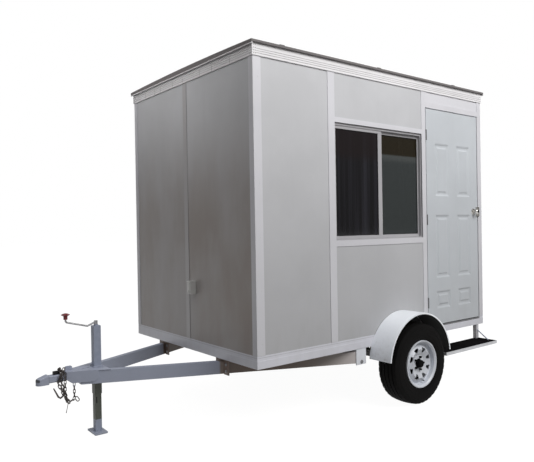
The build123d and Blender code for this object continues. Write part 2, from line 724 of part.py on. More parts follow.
# Roof: an insulated panel, a ribbed fascia with corner caps, and a cambered weather sheet with
# a drip edge at each end
with BuildPart() as roof_panel:
    with BuildSketch(Plane.XY.offset(wall_top)):
        with Locations((cabin_x, 0)):
            Rectangle(frame_length, frame_width)
    extrude(amount=ROOF_PANEL_THICKNESS)
save(roof_panel, "roof_panel")

with BuildPart() as roof_fascia:
    for wall, start, end in (
        (left_wall, FASCIA_CAP_LENGTH, CABIN_LENGTH - FASCIA_CAP_LENGTH),
        (right_wall, FASCIA_CAP_LENGTH, CABIN_LENGTH - FASCIA_CAP_LENGTH),
        (front_wall, FASCIA_CAP_LENGTH - side_y, side_y - FASCIA_CAP_LENGTH),
        (rear_wall, FASCIA_CAP_LENGTH - side_y, side_y - FASCIA_CAP_LENGTH),
    ):
        section_plane = Plane(
            origin=wall.from_local_coords((start, 0, fascia_bottom)),
            x_dir=wall.y_dir,
            z_dir=wall.x_dir,
        )
        with BuildSketch(section_plane):
            with Locations(((TRIM_THICKNESS - FASCIA_PROUD) / 2, FASCIA_HEIGHT / 2)):
                Rectangle(TRIM_THICKNESS + FASCIA_PROUD, FASCIA_HEIGHT)
            for share in FASCIA_GROOVE_HEIGHT_SHARES:
                with Locations((-FASCIA_PROUD, share * FASCIA_HEIGHT)):
                    Rectangle(2 * FASCIA_GROOVE_DEPTH, FASCIA_GROOVE_WIDTH, mode=Mode.SUBTRACT)
        extrude(amount=end - start)
save(roof_fascia, "roof_fascia")

with BuildPart() as fascia_caps:
    cap_out = FASCIA_PROUD + FASCIA_CAP_PROUD
    for x, toward in ((front_x, 1), (rear_x, -1)):
        for side in (-1, 1):
            with BuildSketch(Plane.XY.offset(fascia_bottom)):
                with BuildLine():
                    Polyline(
                        (x - toward * cap_out, side * (side_y + cap_out)),
                        (x + toward * FASCIA_CAP_LENGTH, side * (side_y + cap_out)),
                        (x + toward * FASCIA_CAP_LENGTH, side * (side_y - TRIM_THICKNESS)),
                        (x + toward * TRIM_THICKNESS, side * (side_y - TRIM_THICKNESS)),
                        (x + toward * TRIM_THICKNESS, side * (side_y - FASCIA_CAP_LENGTH)),
                        (x - toward * cap_out, side * (side_y - FASCIA_CAP_LENGTH)),
                        close=True,
                    )
                make_face()
            extrude(amount=FASCIA_HEIGHT, dir=(0, 0, 1))
save(fascia_caps, "fascia_caps")

with BuildPart() as roof_sheet:
    sheet_half = side_y + ROOF_OVERHANG
    rib_x = cabin_x - ROOF_RIB_AHEAD - ROOF_RIB_PITCH * (ROOF_RIB_COUNT - 1) / 2
    bands = [(front_x - ROOF_OVERHANG, CABIN_LENGTH + 2 * ROOF_OVERHANG, 0)]
    for rib in range(ROOF_RIB_COUNT):
        rib_start = rib_x + rib * ROOF_RIB_PITCH - ROOF_RIB_WIDTH / 2
        bands.append((rib_start, ROOF_RIB_WIDTH, ROOF_RIB_HEIGHT))
    for start, length, rise in bands:
        eave = roof_top + ROOF_SHEET_THICKNESS + rise
        with BuildSketch(Plane(origin=(start, 0, 0), x_dir=(0, 1, 0), z_dir=(1, 0, 0))):
            with BuildLine():
                Polyline(
                    (-sheet_half, eave), (-sheet_half, roof_top), (sheet_half, roof_top), (sheet_half, eave)
                )
                ThreePointArc((sheet_half, eave), (0, eave + ROOF_CAMBER), (-sheet_half, eave))
            make_face()
        extrude(amount=length)
    for wall in (front_wall, rear_wall):
        drip = (-ROOF_OVERHANG, ROOF_DRIP_THICKNESS - ROOF_OVERHANG)
        block(wall, (-sheet_half, sheet_half), drip, (roof_top - ROOF_DRIP, roof_top))
save(roof_sheet, "roof_sheet")

# Power inlet: a rounded box with a lid, on the front wall left of the middle strip
with BuildPart() as power_inlet:
    inlet_start = END_STRIP_WIDTH / 2 + INLET_FROM_STRIP
    inlet_low = UNDERSIDE_HEIGHT + INLET_BOTTOM
    lid_low = inlet_low + INLET_HEIGHT - INLET_LID_THICKNESS
    inlet_depth = (TRIM_THICKNESS - INLET_DEPTH, TRIM_THICKNESS)
    block(front_wall, (inlet_start, inlet_start + INLET_WIDTH), inlet_depth, (inlet_low, lid_low))
    fillet(power_inlet.edges().filter_by(Axis.Z).group_by(Axis.X)[0], INLET_ROUND)
    lid_along = (inlet_start - INLET_LID_OVERHANG, inlet_start + INLET_WIDTH + INLET_LID_OVERHANG)
    lid_depth = (inlet_depth[0] - INLET_LID_OVERHANG, TRIM_THICKNESS)
    block(front_wall, lid_along, lid_depth, (lid_low, lid_low + INLET_LID_THICKNESS))
save(power_inlet, "power_inlet")

# Drawbar: two rails in a V from the coupler to a crossbeam, with cleats under the front edge
crossbeam_x = front_x + crossbeam_from_front
rail_side_width = RAIL_WIDTH * math.hypot(1, rail_slope)
rail_front_x = front_x - RAIL_FRONT_REACH
rail_front_y = rail_outer(RAIL_FRONT_REACH)
rail_back_y = rail_outer(-crossbeam_from_front)
with BuildPart() as drawbar_rails:
    for side in (-1, 1):
        with BuildSketch(Plane.XY.offset(rail_bottom)):
            with BuildLine():
                Polyline(
                    (rail_front_x, side * rail_front_y),
                    (crossbeam_x, side * rail_back_y),
                    (crossbeam_x, side * (rail_back_y - rail_side_width)),
                    (rail_front_x, side * (rail_front_y - rail_side_width)),
                    close=True,
                )
            make_face()
        extrude(amount=RAIL_HEIGHT, dir=(0, 0, 1))
save(drawbar_rails, "drawbar_rails")

with BuildPart() as crossbeam:
    plate_middle = crossbeam_x + CROSSBEAM_WIDTH / 2
    with BuildSketch(Plane.XY.offset(rail_bottom)):
        with Locations((plate_middle, 0)):
            Rectangle(CROSSBEAM_WIDTH, 2 * beam_half)
    extrude(amount=UNDERSIDE_HEIGHT - rail_bottom)
    with BuildSketch(Plane.XY.offset(UNDERSIDE_HEIGHT - CROSSBEAM_PLATE_HEIGHT)):
        for side in (-1, 1):
            with Locations((plate_middle, side * (beam_half + CROSSBEAM_PLATE_THICKNESS / 2))):
                Rectangle(CROSSBEAM_WIDTH, CROSSBEAM_PLATE_THICKNESS)
    extrude(amount=CROSSBEAM_PLATE_HEIGHT)
save(crossbeam, "crossbeam")

with BuildPart() as drawbar_cleats:
    cleat_front = front_x + CLEAT_SETBACK
    cleat_back = cleat_front + CLEAT_LENGTH
    cleat_mid = cleat_front + CLEAT_PLATE
    inner_edge = -rail_side_width - CLEAT_WIDTH
    for side in (-1, 1):
        for end, bottom, near, far in (
            (cleat_back, rail_top, inner_edge, CLEAT_WIDTH),
            (cleat_mid, UNDERSIDE_HEIGHT - CLEAT_HEIGHT, 0, CLEAT_WIDTH),
            (cleat_mid, UNDERSIDE_HEIGHT - CLEAT_HEIGHT, inner_edge, -rail_side_width),
        ):
            front_y = rail_outer(front_x - cleat_front)
            back_y = rail_outer(front_x - end)
            with BuildSketch(Plane.XY.offset(bottom)):
                with BuildLine():
                    Polyline(
                        (cleat_front, side * (front_y + near)),
                        (end, side * (back_y + near)),
                        (end, side * (back_y + far)),
                        (cleat_front, side * (front_y + far)),
                        close=True,
                    )
                make_face()
            extrude(amount=UNDERSIDE_HEIGHT - bottom, dir=(0, 0, 1))
save(drawbar_cleats, "drawbar_cleats")

# Coupler: a plate and skirts over the rails, a tapered box ahead of them, a neck and a nose with
# the ball socket. The plate is slotted around the jack and carries a small tab.
nose_tip = front_x - DRAWBAR_REACH
nose_x = nose_tip + NOSE_RADIUS
nose_back = nose_tip + NOSE_LENGTH
box_x = front_x - COUPLER_BOX_REACH
skirt_x = front_x - COUPLER_SKIRT_REACH
plate_x = front_x - COUPLER_PLATE_REACH
plate_top = rail_top + COUPLER_PLATE
skirt_bottom = rail_top - COUPLER_SKIRT_DROP
nose_top = rail_top - NOSE_DROP
nose_bottom = nose_top - NOSE_HEIGHT
neck_top = rail_top - NECK_DROP
tube_hole = JACK_TUBE + 2 * JACK_SLIDE_CLEARANCE
plate_front_half = rail_front_y + COUPLER_PLATE
box_slope = (plate_front_half - COUPLER_BOX_HALF_WIDTH) / (COUPLER_BOX_REACH - RAIL_FRONT_REACH)
chin_half = COUPLER_BOX_HALF_WIDTH + (COUPLER_BOX_REACH - COUPLER_CHIN_REACH) * box_slope
staple = Vector(front_x - STAPLE_REACH, -CHAIN_ASIDE, rail_top - STAPLE_DROP)
with BuildPart() as hitch_coupler:
    with BuildSketch(Plane.XY.offset(nose_bottom)):
        with BuildLine():
            Polyline(
                (nose_x, NOSE_RADIUS),
                (nose_back, NOSE_RADIUS),
                (nose_back, -NOSE_RADIUS),
                (nose_x, -NOSE_RADIUS),
            )
            RadiusArc((nose_x, -NOSE_RADIUS), (nose_x, NOSE_RADIUS), NOSE_RADIUS)
        make_face()
    extrude(amount=NOSE_HEIGHT)
    with BuildSketch(Plane.XZ):
        with BuildLine():
            Polyline(
                (nose_tip - CUT_OVERRUN, nose_bottom + NOSE_TIP_HEIGHT),
                (nose_tip, nose_bottom + NOSE_TIP_HEIGHT),
                (nose_x + NOSE_RADIUS, nose_top),
                (nose_x + NOSE_RADIUS, nose_top + CUT_OVERRUN),
                (nose_tip - CUT_OVERRUN, nose_top + CUT_OVERRUN),
                close=True,
            )
        make_face()
    extrude(amount=NOSE_RADIUS + CUT_OVERRUN, both=True, mode=Mode.SUBTRACT)
    top_edges = hitch_coupler.edges().filter_by(
        lambda edge: edge.center().Z > nose_bottom + NOSE_TIP_HEIGHT - COUPLER_ROUND
        and edge.center().X < nose_back - COUPLER_ROUND
        and abs(edge.tangent_at(0).Z) < abs(edge.tangent_at(0).X)
    )
    fillet(top_edges, COUPLER_ROUND)
    with BuildSketch(Plane(origin=(nose_back, 0, neck_top), x_dir=(0, 1, 0), z_dir=(1, 0, 0))):
        with Locations((0, -NECK_HEIGHT / 2)):
            RectangleRounded(2 * NECK_HALF_WIDTH, NECK_HEIGHT, COUPLER_ROUND)
    extrude(amount=box_x - nose_back)
    for x, half, bottom in (
        (box_x, COUPLER_BOX_HALF_WIDTH, plate_top - COUPLER_BOX_HEIGHT),
        (front_x - COUPLER_CHIN_REACH, chin_half, skirt_bottom),
        (rail_front_x, plate_front_half, skirt_bottom),
    ):
        with BuildSketch(Plane(origin=(x, 0, 0), x_dir=(0, 1, 0), z_dir=(1, 0, 0))):
            with Locations((0, (bottom + plate_top) / 2)):
                Rectangle(2 * half, plate_top - bottom)
    loft(ruled=True)
    with BuildSketch(Plane.XY.offset(rail_top)):
        with BuildLine():
            plate_back_half = rail_outer(COUPLER_PLATE_REACH) + COUPLER_PLATE
            Polyline(
                (rail_front_x, plate_front_half),
                (plate_x, plate_back_half),
                (plate_x, -plate_back_half),
                (rail_front_x, -plate_front_half),
                close=True,
            )
        make_face()
        with Locations((jack_x, 0)):
            Rectangle(tube_hole, tube_hole, mode=Mode.SUBTRACT)
            with Locations((-COUPLER_SLOT_AHEAD, 0), (0, -COUPLER_SLOT_ASIDE), (0, COUPLER_SLOT_ASIDE)):
                SlotOverall(COUPLER_SLOT_LENGTH, COUPLER_SLOT_WIDTH, mode=Mode.SUBTRACT)
    extrude(amount=COUPLER_PLATE)
    for side in (-1, 1):
        with BuildSketch(Plane.XY.offset(skirt_bottom)):
            with BuildLine():
                skirt_far = rail_outer(COUPLER_SKIRT_REACH)
                Polyline(
                    (rail_front_x, side * rail_front_y),
                    (skirt_x, side * skirt_far),
                    (skirt_x, side * (skirt_far + COUPLER_PLATE)),
                    (rail_front_x, side * (rail_front_y + COUPLER_PLATE)),
                    close=True,
                )
            make_face()
        extrude(amount=COUPLER_SKIRT_DROP, dir=(0, 0, 1))
    with BuildSketch(Plane.XZ):
        with BuildLine():
            Polyline(
                (skirt_x + CUT_OVERRUN, skirt_bottom - CUT_OVERRUN),
                (skirt_x + CUT_OVERRUN, skirt_bottom + COUPLER_SKIRT_BEVEL),
                (skirt_x - COUPLER_SKIRT_BEVEL, skirt_bottom - CUT_OVERRUN),
                close=True,
            )
        make_face()
    extrude(amount=CABIN_WIDTH / 2, both=True, mode=Mode.SUBTRACT)
    with BuildSketch(Plane.XZ.offset(-COUPLER_TAB_ASIDE - COUPLER_TAB_WIDTH / 2)):
        tab_middle = front_x - COUPLER_TAB_REACH + COUPLER_TAB_LENGTH / 2
        with Locations((tab_middle, plate_top)):
            RectangleRounded(COUPLER_TAB_LENGTH, 2 * COUPLER_TAB_HEIGHT, COUPLER_TAB_ROUND)
    extrude(amount=COUPLER_TAB_WIDTH)
    with BuildSketch(Plane(origin=(nose_x, 0, nose_bottom), x_dir=(1, 0, 0), z_dir=(0, -1, 0))):
        with BuildLine():
            socket_top = SOCKET_STRAIGHT + SOCKET_DOME
            Polyline((0, socket_top), (0, 0), (SOCKET_RADIUS, 0), (SOCKET_RADIUS, SOCKET_STRAIGHT))
            dome_radius = (SOCKET_RADIUS**2 + SOCKET_DOME**2) / (2 * SOCKET_DOME)
            RadiusArc((SOCKET_RADIUS, SOCKET_STRAIGHT), (0, socket_top), -dome_radius)
        make_face()
    revolve(axis=Axis((nose_x, 0, 0), (0, 0, 1)), mode=Mode.SUBTRACT)
    chain_link(staple + Vector(0, 0, STAPLE_DEPTH), staple, Vector(0, 1, 0))
save(hitch_coupler, "hitch_coupler")

with BuildPart() as coupler_latch:
    with BuildSketch(Plane.XY.offset(neck_top)):
        with Locations((front_x - LATCH_REACH + LATCH_LENGTH / 2, 0)):
            Rectangle(LATCH_LENGTH, LATCH_WIDTH)
    extrude(amount=LATCH_HEIGHT)
    fillet(coupler_latch.edges().filter_by(Axis.X).group_by(Axis.Z)[-1], LATCH_ROUND)
save(coupler_latch, "coupler_latch")

# Safety chain: the loop hangs beside the coupler, then the rest goes over the neck
with BuildPart() as safety_chain:
    loop_end, heading = hang_chain(staple, Vector(0, 0, -1), Vector(0, 1, 0), CHAIN_LOOP_TURNS, 1)
    hang_chain(loop_end + heading * link_inset, heading, Vector(-1, 0, 0), CHAIN_OVER_TURNS, 0)
save(safety_chain, "safety_chain")

# Jack: a square tube through the coupler plate, with a flange, a cap and a shaft bearing
tube_top = UNDERSIDE_HEIGHT + JACK_TUBE_TOP
tube_bottom = UNDERSIDE_HEIGHT - JACK_TUBE_DROP
tube_bore = JACK_LEG + 2 * JACK_SLIDE_CLEARANCE
with BuildPart() as jack_tube:
    with BuildSketch(Plane.XY.offset(tube_bottom)):
        with Locations((jack_x, 0)):
            Rectangle(JACK_TUBE, JACK_TUBE)
            Rectangle(tube_bore, tube_bore, mode=Mode.SUBTRACT)
    extrude(amount=tube_top - tube_bottom)
    with BuildSketch(Plane.XY.offset(tube_top)):
        with Locations((jack_x, 0)):
            Rectangle(JACK_TUBE, JACK_TUBE)
    extrude(amount=JACK_CAP_THICKNESS)
    with BuildSketch(Plane.XY.offset(plate_top)):
        with Locations((jack_x, 0)):
            Rectangle(JACK_FLANGE, JACK_FLANGE)
            Rectangle(tube_bore, tube_bore, mode=Mode.SUBTRACT)
    extrude(amount=JACK_FLANGE_THICKNESS)
    with BuildSketch(Plane.XY.offset(tube_top + JACK_CAP_THICKNESS)):
        with Locations((jack_x, 0)):
            Circle(BEARING_RADIUS)
    extrude(amount=BEARING_HEIGHT)
    bearing_top = tube_top + JACK_CAP_THICKNESS + BEARING_HEIGHT
    with BuildSketch(Plane.XY.offset(bearing_top)):
        with Locations((jack_x, 0)):
            Circle(SHAFT_RADIUS + SHAFT_CLEARANCE)
    extrude(amount=-SHAFT_ENGAGEMENT - SHAFT_CLEARANCE, mode=Mode.SUBTRACT)
save(jack_tube, "jack_tube")

with BuildPart() as jack_leg:
    leg_top = tube_bottom + JACK_LEG_ENGAGEMENT
    with BuildSketch(Plane.XY.offset(JACK_FOOT_THICKNESS)):
        with Locations((jack_x, 0)):
            Rectangle(JACK_LEG, JACK_LEG)
    extrude(amount=leg_top - JACK_FOOT_THICKNESS)
save(jack_leg, "jack_leg")

with BuildPart() as jack_foot:
    with BuildSketch(Plane.XY):
        with Locations((jack_x, 0)):
            RectangleRounded(JACK_FOOT_LENGTH, JACK_FOOT_WIDTH, JACK_FOOT_ROUND)
    extrude(amount=JACK_FOOT_THICKNESS)
save(jack_foot, "jack_foot")

with BuildPart() as crank_rod:
    with BuildSketch(Plane.XY.offset(bearing_top - SHAFT_ENGAGEMENT)):
        with Locations((jack_x, 0)):
            Circle(SHAFT_RADIUS)
    extrude(amount=SHAFT_ENGAGEMENT + SHAFT_CLEARANCE)
    hub_low = bearing_top + SHAFT_CLEARANCE
    with BuildSketch(Plane.XY.offset(hub_low)):
        with Locations((jack_x, 0)):
            Circle(CRANK_HUB_RADIUS)
    extrude(amount=CRANK_HUB_HEIGHT)
    rod_start = hub_low + CRANK_ROD_HEIGHT_SHARE * CRANK_HUB_HEIGHT
    with BuildLine() as rod_path:
        FilletPolyline(
            (jack_x, 0, rod_start),
            (jack_x - CRANK_ELBOW_REACH, 0, UNDERSIDE_HEIGHT + CRANK_ELBOW_HEIGHT),
            (jack_x - CRANK_END_REACH, 0, UNDERSIDE_HEIGHT + CRANK_END_HEIGHT),
            (jack_x - CRANK_END_REACH, 0, UNDERSIDE_HEIGHT + CRANK_GRIP_HEIGHT),
            radius=CRANK_BEND_RADIUS,
        )
    with BuildSketch(Plane(origin=rod_path.line @ 0, z_dir=rod_path.line % 0)):
        Circle(CRANK_ROD_RADIUS)
    sweep()
save(crank_rod, "crank_rod")

with BuildPart() as crank_knob:
    knob_x = jack_x - CRANK_END_REACH
    knob_low = UNDERSIDE_HEIGHT + CRANK_GRIP_HEIGHT
    knob_high = UNDERSIDE_HEIGHT + CRANK_KNOB_TOP
    waist = (knob_low + knob_high) / 2
    with BuildSketch(Plane.XZ):
        with BuildLine():
            brim = (waist + knob_high) / 2
            dome = knob_high - brim
            dome_radius = (CRANK_KNOB_RADIUS**2 + dome**2) / (2 * dome)
            Polyline(
                (knob_x, knob_high),
                (knob_x, knob_low),
                (knob_x + CRANK_KNOB_STEM_RADIUS, knob_low),
                (knob_x + CRANK_KNOB_STEM_RADIUS, waist),
                (knob_x + CRANK_KNOB_RADIUS, brim),
            )
            RadiusArc((knob_x + CRANK_KNOB_RADIUS, brim), (knob_x, knob_high), -dome_radius)
        make_face()
    revolve(axis=Axis((knob_x, 0, 0), (0, 0, 1)))
save(crank_knob, "crank_knob")

# Axle, leaf springs and their hangers. The beam hangs under the springs, and a block at each
# of its ends reaches to the spindle where the cabin is carried lower or higher than here.
eye_z = UNDERSIDE_HEIGHT - SPRING_EYE_DROP
axle_top = eye_z - SPRING_SAG - SPRING_LEAF_COUNT * SPRING_LEAF + SPRING_LEAF / 2
beam_z = axle_top - AXLE_SIZE / 2
hub_inner = wheel_y + TYRE_WIDTH / 2 - DISC_INSET - HUB_LENGTH
with BuildPart() as axle_beam:
    axle_half = hub_inner - HUB_AXLE_GAP
    with BuildSketch(Plane.XZ.offset(-axle_half)):
        with Locations((axle_x, beam_z)):
            Rectangle(AXLE_SIZE, AXLE_SIZE)
    extrude(amount=2 * axle_half)
    knuckle_z, knuckle_drop = span(min(beam_z, TYRE_RADIUS), max(beam_z, TYRE_RADIUS))
    for inner in (-axle_half, axle_half - AXLE_SIZE):
        with BuildSketch(Plane.XZ.offset(-inner)):
            with Locations((axle_x, knuckle_z)):
                Rectangle(AXLE_SIZE, AXLE_SIZE + knuckle_drop)
        extrude(amount=-AXLE_SIZE)
    spindle_half = hub_inner + HUB_LENGTH
    with BuildSketch(Plane.XZ.offset(-spindle_half)):
        with Locations((axle_x, TYRE_RADIUS)):
            Circle(SPINDLE_RADIUS)
    extrude(amount=2 * spindle_half)
save(axle_beam, "axle_beam")

spring_y = side_y - SPRING_INSET
arc_radius = (SPRING_HALF_SPAN**2 + SPRING_SAG**2) / (2 * SPRING_SAG)
arc_z = eye_z - SPRING_SAG + arc_radius
with BuildPart() as leaf_springs:
    for side in (-1, 1):
        for leaf in range(SPRING_LEAF_COUNT):
            reach = SPRING_HALF_SPAN * (1 - leaf * SPRING_LEAF_STEP_SHARE)
            half_turn = math.degrees(math.asin(reach / arc_radius))
            inner = arc_radius - SPRING_LEAF / 2 + leaf * SPRING_LEAF
            with BuildSketch(Plane.XZ.offset(-side * spring_y - SPRING_WIDTH / 2)):
                with BuildLine():
                    near = CenterArc((axle_x, arc_z), inner, 270 - half_turn, 2 * half_turn)
                    far = CenterArc((axle_x, arc_z), inner + SPRING_LEAF, 270 - half_turn, 2 * half_turn)
                    Line(near @ 0, far @ 0)
                    Line(near @ 1, far @ 1)
                make_face()
            extrude(amount=SPRING_WIDTH)
        with BuildSketch(Plane.XZ.offset(-side * spring_y - SPRING_WIDTH / 2)):
            with Locations((axle_x, eye_z)):
                with GridLocations(2 * SPRING_HALF_SPAN, 0, 2, 1):
                    Circle(SPRING_EYE_RADIUS)
        extrude(amount=SPRING_WIDTH)
        seat_low = arc_z - arc_radius + SPRING_LEAF / 2 - SPRING_LEAF_COUNT * SPRING_LEAF
        with BuildSketch(Plane.XY.offset(axle_top)):
            with Locations((axle_x, side * spring_y)):
                Rectangle(AXLE_SIZE, SPRING_WIDTH)
        extrude(amount=seat_low + SPRING_LEAF - axle_top)
save(leaf_springs, "leaf_springs")

with BuildPart() as spring_hangers:
    slot = SPRING_WIDTH + 2 * HANGER_CLEARANCE
    for side in (-1, 1):
        with BuildSketch(Plane.XY.offset(UNDERSIDE_HEIGHT - HANGER_HEIGHT)):
            with Locations((axle_x, side * spring_y)):
                with GridLocations(2 * SPRING_HALF_SPAN, slot + HANGER_CHEEK, 2, 2):
                    Rectangle(HANGER_LENGTH, HANGER_CHEEK)
        extrude(amount=HANGER_HEIGHT)
        with BuildSketch(Plane.XY.offset(UNDERSIDE_HEIGHT - HANGER_CHEEK)):
            with Locations((axle_x, side * spring_y)):
                with GridLocations(2 * SPRING_HALF_SPAN, 0, 2, 1):
                    Rectangle(HANGER_LENGTH, slot)
        extrude(amount=HANGER_CHEEK)
save(spring_hangers, "spring_hangers")

# Fenders: a sheet arc over each wheel with an inward lip along its outer edge
fender_z = TYRE_RADIUS + FENDER_RISE
fender_end = math.degrees(math.asin(FENDER_END_RISE / FENDER_RADIUS))
with BuildPart() as fenders:
    for side in (-1, 1):
        for width, inner in (
            (FENDER_WIDTH, FENDER_RADIUS - FENDER_SHEET),
            (FENDER_SHEET, FENDER_RADIUS - FENDER_LIP),
        ):
            outer_y = side_y + FENDER_WIDTH
            edge_plane = Plane(
                origin=(axle_x, side * outer_y, fender_z),
                x_dir=(-side, 0, 0),
                z_dir=(0, side, 0),
            )
            with BuildSketch(edge_plane):
                with BuildLine():
                    sweep_angle = 180 - 2 * fender_end
                    near = CenterArc((0, 0), inner, fender_end, sweep_angle)
                    far = CenterArc((0, 0), FENDER_RADIUS, fender_end, sweep_angle)
                    Line(near @ 0, far @ 0)
                    Line(near @ 1, far @ 1)
                make_face()
            extrude(amount=-width)
save(fenders, "fenders")

# Wheels: tyre, rim with a windowed disc, and hub, mirrored on the two ends of the axle
half_tyre = TYRE_WIDTH / 2
disc_y = half_tyre - DISC_INSET
with BuildSketch() as disc_window:
    with BuildLine():
        half_near = WHEEL_WINDOW_INNER_ANGLE / 2
        half_far = WHEEL_WINDOW_OUTER_ANGLE / 2
        near = CenterArc((0, 0), WHEEL_WINDOW_INNER, -half_near, WHEEL_WINDOW_INNER_ANGLE)
        far = CenterArc((0, 0), WHEEL_WINDOW_OUTER, -half_far, WHEEL_WINDOW_OUTER_ANGLE)
        Line(near @ 0, far @ 0)
        Line(near @ 1, far @ 1)
    make_face()
    fillet(disc_window.vertices(), WHEEL_WINDOW_ROUND)
for side, name in ((-1, "left"), (1, "right")):
    axle_line = Axis((axle_x, side * wheel_y, TYRE_RADIUS), (0, 1, 0))
    # In this plane X is the radius and Y runs outwards along the axle
    half_plane = Plane(
        origin=(axle_x, side * wheel_y, TYRE_RADIUS),
        x_dir=(side, 0, 0),
        z_dir=(0, 0, 1),
    )
    hub_plane = Plane(
        origin=(axle_x, side * wheel_y, TYRE_RADIUS),
        x_dir=(-side, 0, 0),
        z_dir=(0, side, 0),
    )
    with BuildPart() as tyre:
        with BuildSketch(half_plane):
            with BuildLine():
                bead_half = half_tyre - RIM_FLANGE_WIDTH
                tread_half = half_tyre - TYRE_SHOULDER / 2
                shoulder = TYRE_RADIUS - TYRE_SHOULDER
                for sign in (-1, 1):
                    Line((TYRE_BEAD_RADIUS, 0), (TYRE_BEAD_RADIUS, sign * bead_half))
                    Line((TYRE_BEAD_RADIUS, sign * bead_half), (RIM_FLANGE_RADIUS, sign * bead_half))
                    ThreePointArc(
                        (RIM_FLANGE_RADIUS, sign * bead_half),
                        ((RIM_FLANGE_RADIUS + shoulder) / 2, sign * half_tyre),
                        (shoulder, sign * (half_tyre - TYRE_SIDE_BULGE / 2)),
                    )
                    ThreePointArc(
                        (shoulder, sign * (half_tyre - TYRE_SIDE_BULGE / 2)),
                        (TYRE_RADIUS - TYRE_SHOULDER / 3, sign * (half_tyre - TYRE_SIDE_BULGE)),
                        (TYRE_RADIUS - TYRE_SHOULDER / 8, sign * tread_half),
                    )
                ThreePointArc(
                    (TYRE_RADIUS - TYRE_SHOULDER / 8, -tread_half),
                    (TYRE_RADIUS, 0),
                    (TYRE_RADIUS - TYRE_SHOULDER / 8, tread_half),
                )
            make_face()
        revolve(axis=axle_line)
    save(tyre, f"{name}_tyre")

    with BuildPart() as rim:
        flange_y = half_tyre - RIM_FLANGE_WIDTH
        seat_y = flange_y - RIM_SEAT_WIDTH
        well = RIM_WELL_RADIUS
        with BuildSketch(half_plane):
            with BuildLine():
                Polyline(
                    (RIM_FLANGE_RADIUS, half_tyre),
                    (RIM_FLANGE_RADIUS, flange_y),
                    (TYRE_BEAD_RADIUS, flange_y),
                    (TYRE_BEAD_RADIUS, -flange_y),
                    (RIM_FLANGE_RADIUS, -flange_y),
                    (RIM_FLANGE_RADIUS, -half_tyre),
                    (RIM_FLANGE_RADIUS - RIM_LIP, -half_tyre),
                    (TYRE_BEAD_RADIUS - RIM_BARREL, -flange_y),
                    (TYRE_BEAD_RADIUS - RIM_BARREL, -seat_y),
                    (well, -seat_y + RIM_BARREL),
                    (well, seat_y - RIM_BARREL),
                    (TYRE_BEAD_RADIUS - RIM_BARREL, seat_y),
                    (TYRE_BEAD_RADIUS - RIM_BARREL, flange_y),
                    (RIM_FLANGE_RADIUS - RIM_LIP, half_tyre),
                    close=True,
                )
            make_face()
            with BuildLine():
                Polyline(
                    (HUB_PILOT_RADIUS, disc_y),
                    (WHEEL_WINDOW_INNER - DISC_DISH, disc_y),
                    (DISC_CROWN_RADIUS, disc_y + DISC_DISH),
                    (well + RIM_BARREL, seat_y - RIM_BARREL),
                    (well + RIM_BARREL, seat_y - RIM_BARREL - DISC_THICKNESS),
                    (DISC_CROWN_RADIUS, disc_y + DISC_DISH - DISC_THICKNESS),
                    (WHEEL_WINDOW_INNER - DISC_DISH, disc_y - DISC_THICKNESS),
                    (HUB_PILOT_RADIUS, disc_y - DISC_THICKNESS),
                    close=True,
                )
            make_face()
        revolve(axis=axle_line)
        with BuildSketch(hub_plane.offset(-half_tyre)):
            with PolarLocations(0, WHEEL_WINDOW_COUNT, start_angle=180 / WHEEL_WINDOW_COUNT):
                add(disc_window.sketch)
        extrude(amount=TYRE_WIDTH, mode=Mode.SUBTRACT)
    save(rim, f"{name}_rim")

    with BuildPart() as hub:
        bore_radius = SPINDLE_RADIUS + SPINDLE_CLEARANCE
        cap_top = disc_y + HUB_CAP_LENGTH
        with BuildSketch(half_plane):
            with BuildLine():
                Polyline(
                    (bore_radius, disc_y - HUB_LENGTH),
                    (HUB_PILOT_RADIUS, disc_y - HUB_LENGTH),
                    (HUB_PILOT_RADIUS, disc_y - DISC_THICKNESS),
                    (HUB_PILOT_RADIUS, disc_y),
                    (HUB_CAP_RADIUS, disc_y),
                    (HUB_CAP_RADIUS, cap_top - HUB_CAP_RADIUS / 4),
                    (HUB_CAP_RADIUS * 3 / 4, cap_top),
                    (0, cap_top),
                    (0, disc_y + SPINDLE_CLEARANCE),
                    (bore_radius, disc_y + SPINDLE_CLEARANCE),
                    close=True,
                )
            make_face()
        revolve(axis=axle_line)
        with BuildSketch(hub_plane.offset(disc_y)):
            with PolarLocations(LUG_CIRCLE_RADIUS, LUG_COUNT):
                RegularPolygon(LUG_RADIUS, 6)
        extrude(amount=LUG_HEIGHT)
    save(hub, f"{name}_hub")

# Entry step: an angle frame with a tread, hung on two posts with diagonal braces
step_top = UNDERSIDE_HEIGHT - STEP_DROP
step_start = jamb_x + STEP_FROM_JAMB
step_along = (step_start, step_start + DOOR_WIDTH + STEP_OVER_DOOR_WIDTH)
step_inward = (STEP_BACK_INSET - STEP_DEPTH, STEP_BACK_INSET)
tread_low = step_top - STEP_TREAD_THICKNESS
with BuildPart() as step_frame:
    block(left_wall, step_along, step_inward, (step_top - STEP_FRAME_HEIGHT, step_top))
    middle_x, length = span(*step_along)
    middle_y, depth = span(*step_inward)
    with BuildSketch(left_wall.offset(step_top)):
        with Locations((middle_x, middle_y)):
            Rectangle(length - 2 * STEP_FRAME_WALL, depth - 2 * STEP_FRAME_WALL)
    extrude(amount=-STEP_TREAD_THICKNESS, mode=Mode.SUBTRACT)
save(step_frame, "step_frame")

with BuildPart() as step_tread:
    tread_along = (step_along[0] + STEP_FRAME_WALL, step_along[1] - STEP_FRAME_WALL)
    tread_inward = (step_inward[0] + STEP_FRAME_WALL, step_inward[1] - STEP_FRAME_WALL)
    block(left_wall, tread_along, tread_inward, (tread_low, step_top))
save(step_tread, "step_tread")

